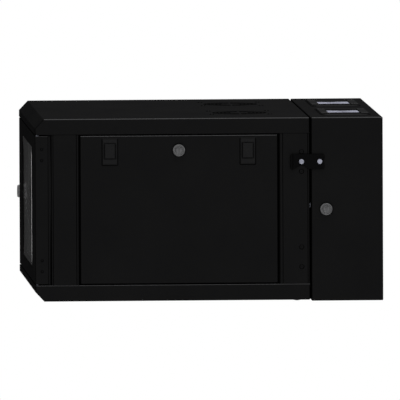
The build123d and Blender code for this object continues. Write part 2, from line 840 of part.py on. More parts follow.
# Glass held in the turned edge by a stepped gasket behind it
glass_front_y = door_y + glass_recess
with BuildPart() as door_glass:
    with BuildSketch(Plane.XZ.offset(-glass_front_y)):
        with Locations((0, main_middle)):
            Rectangle(window_width - 2 * glass_gap, window_height - 2 * glass_gap)
    extrude(amount=-glass_thickness)
save(door_glass, "door_glass")

gasket_back_y = door_y + window_edge + gasket_thickness
with BuildPart() as door_gasket:
    with BuildSketch(Plane.XZ.offset(-glass_front_y)):
        with Locations((0, main_middle)):
            RectangleRounded(window_width, window_height, window_corner)
            Rectangle(window_width - 2 * glass_gap, window_height - 2 * glass_gap, mode=Mode.SUBTRACT)
    extrude(amount=-(gasket_back_y - glass_front_y))
    with BuildSketch(Plane.XZ.offset(-glass_front_y - glass_thickness)):
        with Locations((0, main_middle)):
            RectangleRounded(window_width, window_height, window_corner)
            Rectangle(window_width - 2 * gasket_lap, window_height - 2 * gasket_lap, mode=Mode.SUBTRACT)
    extrude(amount=-(gasket_back_y - glass_front_y - glass_thickness))
    with BuildSketch(Plane.XZ.offset(-door_y - window_edge)):
        with Locations((0, main_middle)):
            Rectangle(window_width + 2 * gasket_lap, window_height + 2 * gasket_lap)
            Rectangle(window_width - 2 * gasket_lap, window_height - 2 * gasket_lap, mode=Mode.SUBTRACT)
    extrude(amount=-gasket_thickness)
save(door_gasket, "door_gasket")

# Hinge pin brackets, riveted inside the door's right edge, and their drop-out pins
rivet_middle = main_middle + rivet_from_middle
bracket_x = door_side_x - cover_sheet
pin_bracket_plane = Plane(
    origin=(0, door_y + rivet_from_front - pin_bracket_depth / 2, 0), x_dir=(-1, 0, 0), z_dir=(0, 1, 0)
)
pin_bracket_points = [
    (-(bracket_x - pin_bracket_reach), rivet_middle - pin_bracket_height / 2),
    (-bracket_x, rivet_middle - pin_bracket_height / 2),
    (-bracket_x, rivet_middle + pin_bracket_height / 2),
    (-(bracket_x - pin_bracket_reach), rivet_middle + pin_bracket_height / 2),
]
with BuildPart() as pin_bracket:
    add(folded(pin_bracket_points[::-1], pin_bracket_plane, pin_bracket_depth))
    with BuildSketch(Plane.XY.offset(rivet_middle - pin_bracket_height)):
        with Locations((pin_x, pin_y)):
            Circle(pin_radius + pin_clearance)
    extrude(amount=2 * pin_bracket_height, mode=Mode.SUBTRACT)
    with BuildSketch(Plane.YZ.offset(bracket_x - frame_sheet)):
        with Locations(*[(door_y + rivet_from_front, z) for z in rivet_heights if z > main_middle]):
            Circle(rivet_radius)
    extrude(amount=frame_sheet + cover_sheet)
with BuildPart() as pin_brackets:
    add(pin_bracket.part)
    mirror(pin_bracket.part, about=middle_plane)
save(pin_brackets, "pin_brackets")

pin_end = frame_top + pin_engagement
pin_start = rivet_middle - pin_bracket_height / 2 - pin_bracket_reach / 2
with BuildPart() as hinge_pin:
    with BuildSketch(Plane.XY.offset(pin_start)):
        with Locations((pin_x, pin_y)):
            Circle(pin_radius)
    extrude(amount=pin_end - pin_start)
    with BuildSketch(Plane.YZ.offset(pin_x)):
        with Locations((pin_y, rivet_middle)):
            Circle(pin_handle_radius)
    extrude(amount=-pin_handle_length)
save(hinge_pin, "hinge_pin_upper")
with BuildPart() as hinge_pin_lower:
    mirror(hinge_pin.part, about=middle_plane)
save(hinge_pin_lower, "hinge_pin_lower")

# Swing hinges on the left side: leaves rolled round one pin
knuckle_low = hinge_height * hinge_share


def hinge_leaf_part(leaf_x, screw_y, spans):
    """A leaf screwed to the side at screw_y, rolled round the pin over the given spans."""
    direction = 1 if screw_y > hinge_y else -1
    leaf_end = screw_y + direction * leaf_margin
    with BuildPart() as leaf:
        for low, high in spans:
            with BuildSketch(Plane.XY.offset(low)):
                with Locations((hinge_x, hinge_y)):
                    Circle(hinge_barrel_radius)
                with Locations((leaf_x - hinge_leaf / 2, (hinge_y + leaf_end) / 2)):
                    Rectangle(hinge_leaf, abs(leaf_end - hinge_y))
                with Locations((hinge_x, hinge_y)):
                    Circle(hinge_pin_radius + hinge_pin_clearance, mode=Mode.SUBTRACT)
            extrude(amount=high - low)
        knuckle_clear = hinge_y + direction * (hinge_barrel_radius + hinge_play)
        with BuildSketch(Plane.XY.offset(hinge_centre - hinge_height / 2)):
            with Locations((leaf_x - hinge_leaf / 2, (knuckle_clear + leaf_end) / 2)):
                Rectangle(hinge_leaf, abs(leaf_end - knuckle_clear))
        extrude(amount=hinge_height)
        with BuildSketch(Plane.YZ.offset(leaf_x - hinge_leaf)):
            with Locations(*[(screw_y, z) for z in screw_heights]):
                Circle(side_screw_hole)
        extrude(amount=hinge_leaf, mode=Mode.SUBTRACT)
    with BuildPart() as both:
        add(leaf.part)
        mirror(leaf.part, about=swing_plane)
    return both


hinge_low = hinge_centre - hinge_height / 2
hinge_top = hinge_centre + hinge_height / 2
middle_low = hinge_low + knuckle_low
middle_high = hinge_top - knuckle_low
rear_spans = [(hinge_low, middle_low - hinge_play / 2), (middle_high + hinge_play / 2, hinge_top)]
main_spans = [(middle_low + hinge_play / 2, middle_high - hinge_play / 2)]
save(hinge_leaf_part(-side_x, rear_screw_y, rear_spans), "hinge_leaves_rear")
save(hinge_leaf_part(-post_x, main_screw_y, main_spans), "hinge_leaves_main")

with BuildPart() as swing_pins:
    with BuildSketch(Plane.XY.offset(hinge_low)):
        with Locations((hinge_x, hinge_y)):
            Circle(hinge_pin_radius)
    extrude(amount=hinge_height)
    with BuildSketch(Plane.XY.offset(hinge_top)):
        with Locations((hinge_x, hinge_y)):
            Circle(hinge_pin_radius + hinge_pin_head)
    extrude(amount=hinge_pin_head)
    mirror(about=swing_plane)
save(swing_pins, "swing_hinge_pins")


# Side screws: flanged hexagon heads
def side_screw(x, y, z, sign, length):
    """One screw whose head bears on the plane at x and whose shank runs inwards."""
    face = Plane(origin=(x, y, z), x_dir=(0, 1, 0), z_dir=(sign, 0, 0))
    with BuildPart() as screw:
        with BuildSketch(face):
            Circle(side_screw_head / 2)
        extrude(amount=side_screw_flange)
        with BuildSketch(face.offset(side_screw_flange)):
            RegularPolygon(side_screw_head / 2, 6)
        extrude(amount=side_screw_head_height - side_screw_flange)
        with BuildSketch(face):
            Circle(side_screw_radius)
        extrude(amount=-length)
    return screw.part


bracket_face_x = side_x + bracket_sheet
with BuildPart() as screws_main:
    for z in all_screw_heights:
        add(side_screw(-post_x - hinge_leaf, main_screw_y, z, -1, side_screw_length))
    add(side_screw(bracket_face_x, main_screw_y, hinge_centre, 1, side_screw_length))
save(screws_main, "side_screws_main")
rear_bracket_screw_x = bracket_face_x + bracket_screw_play
with BuildPart() as screws_rear:
    for z in all_screw_heights:
        add(side_screw(-side_x - hinge_leaf, rear_screw_y, z, -1, side_screw_length))
    add(side_screw(rear_bracket_screw_x, rear_screw_y, hinge_centre, 1, side_screw_length))
save(screws_rear, "side_screws_rear")

# Transit bracket: bolted to the main section, with an open slot under the rear screw's head
bracket_y = main_screw_y - bracket_front_margin
bracket_end = bracket_y + bracket_length
with BuildPart() as transit_bracket:
    with BuildSketch(Plane.YZ.offset(side_x)) as bracket_face:
        with Locations((bracket_y + bracket_length / 2, hinge_centre)):
            Rectangle(bracket_length, bracket_height)
        rear_corners = bracket_face.vertices().sort_by(Axis.Y)[-2:]
        fillet(rear_corners, radius=bracket_corner)
        with Locations((rear_screw_y, hinge_centre)):
            Circle(bracket_slot_width / 2, mode=Mode.SUBTRACT)
        with Locations(((rear_screw_y + bracket_end) / 2, hinge_centre)):
            Rectangle(bracket_end - rear_screw_y, bracket_slot_width, mode=Mode.SUBTRACT)
        with Locations((main_screw_y, hinge_centre)):
            Circle(side_screw_hole, mode=Mode.SUBTRACT)
        notch_z = hinge_centre - bracket_height / 2
        with BuildLine():
            Polyline(
                (main_screw_y - bracket_notch_width / 2, notch_z),
                (main_screw_y, notch_z + bracket_notch_height),
                (main_screw_y + bracket_notch_width / 2, notch_z),
                close=True,
            )
        make_face(mode=Mode.SUBTRACT)
    extrude(amount=bracket_sheet)
    with BuildSketch(Plane.YZ.offset(bracket_face_x)):
        with Locations((bracket_y + bracket_sheet / 2, hinge_centre)):
            Rectangle(bracket_sheet, bracket_height)
    extrude(amount=bracket_tab_reach)
save(transit_bracket, "transit_bracket")

# Strike: a formed strip from the right rear post into the rear section, ending in a hook
strike_x = side_x - strike_inset
strike_y = rear_post_end
hook_y = rear_lock_y + cam_width / 2 + strike_hook_gap
strike_rise_y = rear_lock_y - cam_width
neck_low = swing_middle + strike_neck_low
neck_high = swing_middle + strike_neck_high
hook_high = swing_middle + strike_hook_high
hook_middle = swing_middle + (strike_hook_low + strike_hook_high) / 2
foot_middle = swing_middle + (strike_neck_high - strike_foot_low) / 2
with BuildPart() as strike:
    foot_end = post_x - bend_radius - frame_sheet
    with BuildSketch(Plane.XZ.offset(-strike_y)):
        with Locations(((strike_x + foot_end) / 2, foot_middle)):
            Rectangle(foot_end - strike_x, strike_neck_high + strike_foot_low)
    extrude(amount=-frame_sheet)
    with BuildSketch(Plane.YZ.offset(strike_x)):
        with BuildLine():
            Polyline(
                (strike_y, neck_low),
                (strike_y, neck_high),
                (strike_rise_y - strike_slope, neck_high),
                (strike_rise_y, hook_high),
                (hook_y + strike_sheet, hook_high),
                (hook_y + strike_sheet, neck_low),
                close=True,
            )
        make_face()
    extrude(amount=strike_sheet)
    with BuildSketch(Plane.XZ.offset(-hook_y)):
        with Locations((strike_x + strike_hook_reach / 2, hook_middle)):
            Rectangle(strike_hook_reach, strike_hook_high - strike_hook_low)
    extrude(amount=-strike_sheet)
save(strike, "strike")

# Plugs in the unused hinge holes of the right rear post
with BuildPart() as hole_plugs:
    with BuildSketch(Plane.YZ.offset(post_x)):
        with Locations(*[(main_screw_y, z) for z in all_screw_heights]):
            Circle(plug_radius)
    extrude(amount=plug_height, taper=plug_taper)
    with BuildSketch(Plane.YZ.offset(post_x)):
        with Locations(*[(main_screw_y, z) for z in all_screw_heights]):
            Circle(plug_stem_radius)
    extrude(amount=-plug_stem_length)
save(hole_plugs, "hole_plugs")

# Earth stud under the floor cover, with its flanged nut
with BuildPart() as earth_stud:
    with BuildSketch(Plane.XY.offset(floor_z - earth_height)):
        with Locations((earth_x, earth_y)):
            Circle(earth_stud_radius)
    extrude(amount=earth_stud_length)
save(earth_stud, "earth_stud")
with BuildPart() as earth_nut:
    with BuildSketch(Plane.XY.offset(floor_z)):
        with Locations((earth_x, earth_y)):
            Circle(earth_flange_radius)
            Circle(earth_stud_radius, mode=Mode.SUBTRACT)
    extrude(amount=-earth_flange_height)
    with BuildSketch(Plane.XY.offset(floor_z - earth_flange_height)):
        with Locations((earth_x, earth_y)):
            RegularPolygon(earth_flats / 2, 6, major_radius=False)
            Circle(earth_stud_radius, mode=Mode.SUBTRACT)
    extrude(amount=-earth_hex_height)
save(earth_nut, "earth_nut")

# Fans: a square frame with struts to its motor mount, and a bladed rotor on the shaft
fan_bottom = fan_top - fan_thickness
with BuildPart() as fan_housing:
    with BuildSketch(Plane.XY.offset(fan_bottom)):
        with Locations((fan_across, fan_y)):
            RectangleRounded(fan_size, fan_size, fan_base)
            Circle(fan_bore_radius, mode=Mode.SUBTRACT)
            with GridLocations(fan_hole_pitch, fan_hole_pitch, 2, 2):
                Circle(fan_screw_radius, mode=Mode.SUBTRACT)
    extrude(amount=fan_thickness)
    with BuildSketch(Plane.XY.offset(fan_bottom)):
        with Locations((fan_across, fan_y)):
            Circle(fan_motor_radius)
            with PolarLocations(0, 2, start_angle=45, angular_range=180):
                Rectangle(2 * fan_bore_radius + fan_base, fan_strut_width)
    extrude(amount=fan_base)
    with BuildSketch(Plane.XY.offset(fan_bottom + fan_base)):
        with Locations((fan_across, fan_y)):
            Circle(fan_shaft_radius)
    extrude(amount=fan_shaft_height)
save_pair(fan_housing, "fan_housing")

rotor_low = fan_bottom + fan_base + fan_rotor_gap
rotor_middle = rotor_low + fan_rotor_height / 2
with BuildPart() as fan_rotor:
    with BuildSketch(Plane.XY.offset(rotor_low)):
        with Locations((fan_across, fan_y)):
            Circle(fan_hub_radius)
    extrude(amount=fan_rotor_height)
    with BuildSketch(Plane.XY.offset(rotor_low)):
        with Locations((fan_across, fan_y)):
            Circle(fan_shaft_radius + fan_shaft_clearance)
    extrude(amount=fan_shaft_bore, mode=Mode.SUBTRACT)
    for blade in range(fan_blades):
        turn = 360 / fan_blades * blade
        blade_axis = Plane(origin=(fan_across, fan_y, rotor_middle)).rotated((0, 0, turn))
        root_plane = Plane(
            origin=blade_axis.from_local_coords((fan_hub_radius - fan_blade_root, 0, 0)),
            x_dir=blade_axis.y_dir,
            z_dir=blade_axis.x_dir,
        )
        with BuildSketch(root_plane):
            Rectangle(fan_blade_root_chord, fan_blade_thickness, rotation=fan_blade_pitch)
        with BuildSketch(root_plane.offset(fan_blade_radius - fan_hub_radius + fan_blade_root)):
            Rectangle(fan_blade_chord, fan_blade_thickness, rotation=fan_blade_tip_pitch)
        loft(ruled=True)
save_pair(fan_rotor, "fan_rotor")

with BuildPart() as fan_screws:
    with BuildSketch(Plane.XY.offset(roof_z)):
        with Locations((-fan_across, fan_y), (fan_across, fan_y)):
            with GridLocations(fan_hole_pitch, fan_hole_pitch, 2, 2):
                Circle(fan_screw_head)
    extrude(amount=fan_screw_head_height, taper=fan_screw_taper)
    with BuildSketch(Plane.XY.offset(roof_z)):
        with Locations((-fan_across, fan_y), (fan_across, fan_y)):
            with GridLocations(fan_hole_pitch, fan_hole_pitch, 2, 2):
                Circle(fan_screw_radius)
    extrude(amount=-fan_screw_length)
save(fan_screws, "fan_screws")
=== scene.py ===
# Looks for the wall mount network cabinet: finishes, locks, fasteners, latches, fans, brushes and glass

import json
import math

import bpy
import numpy as np
from mathutils import Matrix, Vector


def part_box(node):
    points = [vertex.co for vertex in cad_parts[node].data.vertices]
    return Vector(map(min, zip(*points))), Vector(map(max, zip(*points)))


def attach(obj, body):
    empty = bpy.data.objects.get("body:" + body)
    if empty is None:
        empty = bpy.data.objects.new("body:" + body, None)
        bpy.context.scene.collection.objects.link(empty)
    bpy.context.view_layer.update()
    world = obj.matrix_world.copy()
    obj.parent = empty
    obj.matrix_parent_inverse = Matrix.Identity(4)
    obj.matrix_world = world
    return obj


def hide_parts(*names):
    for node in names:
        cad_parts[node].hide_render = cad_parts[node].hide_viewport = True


bpy.ops.wm.read_factory_settings(use_empty=True)
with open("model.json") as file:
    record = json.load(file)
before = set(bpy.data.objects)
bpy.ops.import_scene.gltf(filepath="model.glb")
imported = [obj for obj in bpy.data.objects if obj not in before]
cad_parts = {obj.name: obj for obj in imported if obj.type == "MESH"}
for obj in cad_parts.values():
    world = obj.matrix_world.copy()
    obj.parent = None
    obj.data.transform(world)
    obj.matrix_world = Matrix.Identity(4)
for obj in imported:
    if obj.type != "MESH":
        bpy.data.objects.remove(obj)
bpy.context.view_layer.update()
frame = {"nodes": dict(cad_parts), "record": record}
scene = bpy.context.scene
mm = 0.001
print("frame loaded:", len(frame["nodes"]), "nodes")

# Camera, fitted to the photograph's corners
cameraFit = {
    "lens": 1725.0,
    "sensor": 36.0,
    "azimuth": 86.7516,  # from the front, towards the right side
    "elevation": 3.5464,
    "roll": -0.2346,
    "distance": 34.733,
    "aimAcross": -0.31174,  # the view's middle, measured from the origin in the picture's plane
    "aimUp": -0.0031,
    "near": 1.0,
    "far": 60.0,
}


# The view line leans down by the elevation and turns by the azimuth, and the picture rolls about it
def setCamera(fit):
    azimuth, elevation, roll = (math.radians(fit[key]) for key in ("azimuth", "elevation", "roll"))
    level = math.cos(elevation)
    forward = Vector((-math.sin(azimuth) * level, math.cos(azimuth) * level, -math.sin(elevation)))
    sideways = Vector((math.cos(azimuth), math.sin(azimuth), 0))
    upright = sideways.cross(forward)
    right = sideways * math.cos(roll) + upright * math.sin(roll)
    up = upright * math.cos(roll) - sideways * math.sin(roll)
    camera = bpy.data.objects.new("camera", bpy.data.cameras.new("camera"))
    camera.data.lens, camera.data.sensor_width = fit["lens"], fit["sensor"]
    camera.data.clip_start, camera.data.clip_end = fit["near"], fit["far"]
    turned = Matrix((right, up, -forward)).transposed().to_4x4()
    place = right * fit["aimAcross"] + up * fit["aimUp"] - forward * fit["distance"]
    camera.matrix_world = Matrix.Translation(place) @ turned
    scene.collection.objects.link(camera)
    scene.camera = camera


setCamera(cameraFit)


# Shader helpers. addNode sets a node's properties by name, and an input where the name is an input's
def addNode(tree, kind, **values):
    node = tree.nodes.new(kind)
    for name, value in values.items():
        if hasattr(node, name):
            setattr(node, name, value)
        else:
            node.inputs[name.replace("_", " ")].default_value = value
    return node


# A node group with inputs of label, kind and value, and its two end nodes
def newGroup(name, inputs, outputs):
    tree = bpy.data.node_groups.new(name, "ShaderNodeTree")
    for label, kind, value in inputs:
        socket = tree.interface.new_socket(name=label, in_out="INPUT", socket_type=f"NodeSocket{kind}")
        if value is not None:
            socket.default_value = value
    for label in outputs:
        kind = "NodeSocketVector" if label == "Normal" else "NodeSocketFloat"
        tree.interface.new_socket(name=label, in_out="OUTPUT", socket_type=kind)
    return tree, tree.nodes.new("NodeGroupInput"), tree.nodes.new("NodeGroupOutput")


# A value stretched from one range to another, held at the ends
def spreadValue(tree, share, low, high, fromLow=0.3, fromHigh=0.7):
    node = tree.nodes.new("ShaderNodeMapRange")
    tree.links.new(share, node.inputs["Value"])
    for name, value in (("From Min", fromLow), ("From Max", fromHigh), ("To Min", low), ("To Max", high)):
        node.inputs[name].default_value = value
    return node.outputs["Result"]


# The product of two sockets, or of a socket and a fixed number
def multiply(tree, first, second):
    node = addNode(tree, "ShaderNodeMath", operation="MULTIPLY")
    for socket, value in zip(node.inputs, (first, second)):
        if isinstance(value, float):
            socket.default_value = value
        else:
            tree.links.new(value, socket)
    return node.outputs[0]


# Fine height grain from two sizes of noise, and a slow patch mask for colour and roughness
def makeGrainGroup():
    tree, given, made = newGroup(
        "coatGrain",
        [("Vector", "Vector", None), ("Scale", "Float", 900.0), ("Patches", "Float", 14.0)],
        ("Height", "Patch", "Speck"),
    )
    link = tree.links.new
    fine = addNode(tree, "ShaderNodeTexNoise", Detail=2.0, Roughness=0.6)
    link(given.outputs["Vector"], fine.inputs["Vector"])
    link(given.outputs["Scale"], fine.inputs["Scale"])
    peel = addNode(tree, "ShaderNodeTexVoronoi", feature="SMOOTH_F1", Smoothness=0.8)
    link(given.outputs["Vector"], peel.inputs["Vector"])
    link(multiply(tree, given.outputs["Scale"], 0.31), peel.inputs["Scale"])
    both = addNode(tree, "ShaderNodeMath", operation="MULTIPLY_ADD")
    both.inputs[1].default_value = 0.6
    link(peel.outputs["Distance"], both.inputs[0])
    link(fine.outputs["Fac"], both.inputs[2])
    link(both.outputs[0], made.inputs["Height"])
    slow = addNode(tree, "ShaderNodeTexNoise", Detail=3.0, Roughness=0.5)
    link(given.outputs["Vector"], slow.inputs["Vector"])
    link(given.outputs["Patches"], slow.inputs["Scale"])
    link(slow.outputs["Fac"], made.inputs["Patch"])
    link(spreadValue(tree, fine.outputs["Fac"], 0.0, 1.0, 0.58, 0.72), made.inputs["Speck"])
    return tree


# Where the surface turns within the radius: one minus the cosine between rounded and true normal
def makeEdgeGroup():
    tree, given, made = newGroup(
        "edgeRub",
        [
            ("Vector", "Vector", None),
            ("Radius", "Float", 0.0012),
            ("Low", "Float", 0.01),
            ("High", "Float", 0.12),
        ],
        ("Mask", "Normal"),
    )
    link = tree.links.new
    rounded = addNode(tree, "ShaderNodeBevel", samples=6)
    link(given.outputs["Radius"], rounded.inputs["Radius"])
    plain = tree.nodes.new("ShaderNodeNewGeometry")
    cosine = addNode(tree, "ShaderNodeVectorMath", operation="DOT_PRODUCT")
    link(rounded.outputs["Normal"], cosine.inputs[0])
    link(plain.outputs["Normal"], cosine.inputs[1])
    turn = addNode(tree, "ShaderNodeMath", operation="SUBTRACT")
    turn.inputs[0].default_value = 1.0
    link(cosine.outputs["Value"], turn.inputs[1])
    spread = tree.nodes.new("ShaderNodeMapRange")
    link(turn.outputs[0], spread.inputs["Value"])
    link(given.outputs["Low"], spread.inputs["From Min"])
    link(given.outputs["High"], spread.inputs["From Max"])
    broken = addNode(tree, "ShaderNodeTexNoise", Scale=55.0, Detail=4.0)
    link(given.outputs["Vector"], broken.inputs["Vector"])
    patchy = spreadValue(tree, broken.outputs["Fac"], 0.0, 1.0, 0.3, 0.62)
    link(multiply(tree, spread.outputs["Result"], patchy), made.inputs["Mask"])
    link(rounded.outputs["Normal"], made.inputs["Normal"])
    return tree


# Painted light on folds at the edges of a side face, found by the object's own normal: a painted highlight
# where they face up, and painted shade where they face down, forwards or back. Light is the upward share, and
# Dark is the rest of the fold
def makeFoldLightGroup():
    tree, given, made = newGroup("paintedFoldLight", [("Facing", "Vector", None)], ("Light", "Dark"))
    parts = tree.nodes.new("ShaderNodeSeparateXYZ")
    tree.links.new(given.outputs["Facing"], parts.inputs[0])
    sideways, lengthways = (addNode(tree, "ShaderNodeMath", operation="ABSOLUTE") for axis in "XY")
    tree.links.new(parts.outputs["X"], sideways.inputs[0])
    tree.links.new(parts.outputs["Y"], lengthways.inputs[0])
    rise = spreadValue(tree, sideways.outputs[0], 0.0, 1.0, 0.05, 0.3)
    fall = spreadValue(tree, sideways.outputs[0], 1.0, 0.0, 0.95, 0.995)
    upward = spreadValue(tree, parts.outputs["Z"], 0.0, 1.0, 0.2, 0.4)
    upward = multiply(tree, upward, spreadValue(tree, lengthways.outputs[0], 1.0, 0.0, 0.15, 0.35))
    tree.links.new(multiply(tree, rise, upward), made.inputs["Light"])
    rest = addNode(tree, "ShaderNodeMath", operation="SUBTRACT")
    rest.inputs[0].default_value = 1.0
    tree.links.new(upward, rest.inputs[1])
    tree.links.new(multiply(tree, multiply(tree, rise, fall), rest.outputs[0]), made.inputs["Dark"])
    return tree


# Fine brushing: noise drawn out along one axis of the vector, as a height and a share for stains
def makeScratchGroup():
    tree, given, made = newGroup(
        "fineScratches",
        [("Vector", "Vector", None), ("Scale", "Float", 300.0), ("Stretch", "Float", 14.0)],
        ("Height", "Share"),
    )
    link = tree.links.new
    drawn = addNode(tree, "ShaderNodeCombineXYZ", X=1.0, Y=1.0)
    link(given.outputs["Stretch"], drawn.inputs["Z"])
    scaled = addNode(tree, "ShaderNodeVectorMath", operation="MULTIPLY")
    link(given.outputs["Vector"], scaled.inputs[0])
    link(drawn.outputs["Vector"], scaled.inputs[1])
    noise = addNode(tree, "ShaderNodeTexNoise", Detail=3.0, Roughness=0.65)
    link(scaled.outputs["Vector"], noise.inputs["Vector"])
    link(given.outputs["Scale"], noise.inputs["Scale"])
    link(noise.outputs["Fac"], made.inputs["Height"])
    stains = addNode(tree, "ShaderNodeTexNoise", Scale=120.0, Detail=2.0)
    link(given.outputs["Vector"], stains.inputs["Vector"])
    link(stains.outputs["Fac"], made.inputs["Share"])
    return tree


grainGroup, edgeGroup, foldLightGroup, scratchGroup = (
    makeGrainGroup(), makeEdgeGroup(), makeFoldLightGroup(), makeScratchGroup()
)


# A new material, with its tree, its Principled shader and its texture coordinates
def startMaterial(name):
    material = bpy.data.materials.new(name)
    material.use_nodes = True
    tree = material.node_tree
    return material, tree, tree.nodes["Principled BSDF"], tree.nodes.new("ShaderNodeTexCoord")


# A group placed in a tree: its first input is linked, and the others are set by name
def useGroup(tree, group, place, **values):
    node = tree.nodes.new("ShaderNodeGroup")
    node.node_tree = group
    tree.links.new(place, node.inputs[0])
    for name, value in values.items():
        node.inputs[name].default_value = value
    return node


# A blend of two colours by a mask. Either colour may be a socket or a fixed value
def mixColour(tree, share, first, second):
    mix = tree.nodes.new("ShaderNodeMix")
    mix.data_type = "RGBA"
    tree.links.new(share, mix.inputs["Factor"])
    for socket, colour in ((mix.inputs[6], first), (mix.inputs[7], second)):
        if isinstance(colour, tuple):
            socket.default_value = (*colour, 1.0)
        else:
            tree.links.new(colour, socket)
    return mix.outputs[2]


# A normal bent by the slope of a height, on top of another normal
def bumpNormal(tree, height, distance, strength, normal):
    node = addNode(tree, "ShaderNodeBump", Distance=distance, Strength=strength)
    tree.links.new(height, node.inputs["Height"])
    tree.links.new(normal, node.inputs["Normal"])
    return node.outputs["Normal"]


# Paint, plastic or rubber: two near colours in patches, a grain, rubbed edges, painted light on folds,
# painted shade in corners
def coatedMaterial(name, look):
    material, tree, shader, coordinates = startMaterial(name)
    place = coordinates.outputs["Object"]
    grain = useGroup(tree, grainGroup, place, Scale=look["grain"], Patches=look["patches"])
    edge = useGroup(tree, edgeGroup, place, Radius=look["edgeRadius"], High=look["edgeHigh"])
    foldLight = useGroup(tree, foldLightGroup, coordinates.outputs["Normal"])
    colour = mixColour(tree, spreadValue(tree, grain.outputs["Patch"], 0.0, 1.0), look["dark"], look["light"])
    for mask, share, tint in (
        (grain.outputs["Speck"], look["speckShare"], look["speck"]),
        (edge.outputs["Mask"], look["edgeShare"], look["edge"]),
        # painted shade on folds that face down, forwards or back, and a painted highlight on folds that face
        # up
        (foldLight.outputs["Dark"], look["foldPaintedLightShare"], look["paintedFoldShade"]),
        (foldLight.outputs["Light"], look["foldPaintedLightShare"], look["upFoldPaintedLight"]),
    ):
        colour = mixColour(tree, multiply(tree, mask, share), colour, tint)
    # painted shade in corners, creases and hollows, from the occlusion of nearby surfaces
    corners = addNode(tree, "ShaderNodeAmbientOcclusion", samples=8, Distance=look["paintedShadeReach"])
    unshadedShare = spreadValue(tree, corners.outputs["AO"], 0.0, 1.0, *look["paintedShadeRange"])
    tree.links.new(mixColour(tree, unshadedShare, look["corner"], colour), shader.inputs["Base Color"])
    smoothest, roughest = (look["roughness"] + sign * look["roughSpread"] for sign in (-1, 1))
    rough = spreadValue(tree, grain.outputs["Patch"], smoothest, roughest)
    tree.links.new(rough, shader.inputs["Roughness"])
    shader.inputs["Specular IOR Level"].default_value = look["specular"]
    height, under = grain.outputs["Height"], edge.outputs["Normal"]
    normal = bumpNormal(tree, height, look["grainHeight"], look["grainStrength"], under)
    tree.links.new(normal, shader.inputs["Normal"])
    return material


# Plated metal: two near tints in stains, fine brushing, and brighter rubbed edges
def metalMaterial(name, look):
    material, tree, shader, coordinates = startMaterial(name)
    place = coordinates.outputs["Object"]
    scratch = useGroup(tree, scratchGroup, place, Scale=look["brushing"], Stretch=look["stretch"])
    edge = useGroup(tree, edgeGroup, place, Radius=look["edgeRadius"], High=look["edgeHigh"])
    stain = spreadValue(tree, scratch.outputs["Share"], 0.0, 1.0)
    colour = mixColour(tree, stain, look["dark"], look["light"])
    colour = mixColour(tree, edge.outputs["Mask"], colour, look["edge"])
    tree.links.new(colour, shader.inputs["Base Color"])
    shader.inputs["Metallic"].default_value = 1.0
    height, under = scratch.outputs["Height"], edge.outputs["Normal"]
    smoothest, roughest = (look["roughness"] + sign * look["roughSpread"] for sign in (-1, 1))
    tree.links.new(spreadValue(tree, height, smoothest, roughest), shader.inputs["Roughness"])
    normal = bumpNormal(tree, height, look["brushHeight"], look["brushStrength"], under)
    tree.links.new(normal, shader.inputs["Normal"])
    return material


# What the black coats share. Each one below names only what differs
plainCoat = {
    "dark": (0.0066, 0.0066, 0.0068), "light": (0.0075, 0.0075, 0.0076),
    "speck": (0.014, 0.014, 0.014), "speckShare": 0.2,
    "edge": (0.009, 0.009, 0.009), "edgeShare": 0.25, "edgeRadius": 0.0006, "edgeHigh": 0.16,
    # Painted highlight on folds that face up (painted shade where that colour is darker than the coat), and
    # painted shade on the rest of each fold
    "upFoldPaintedLight": (0.05, 0.05, 0.051), "paintedFoldShade": (0.0022, 0.0022, 0.0022), "foldPaintedLightShare": 1.0,
    # Painted shade in corners and hollows: its colour, its reach and the occlusion range over which it fades
    # in
    "corner": (0.0008, 0.0008, 0.0008), "paintedShadeReach": 0.006, "paintedShadeRange": (0.3, 0.8),
    "grain": 1100.0, "patches": 9.0, "grainHeight": 0.00006, "grainStrength": 0.6,
    "roughness": 0.5, "roughSpread": 0.04, "specular": 0.0,
}
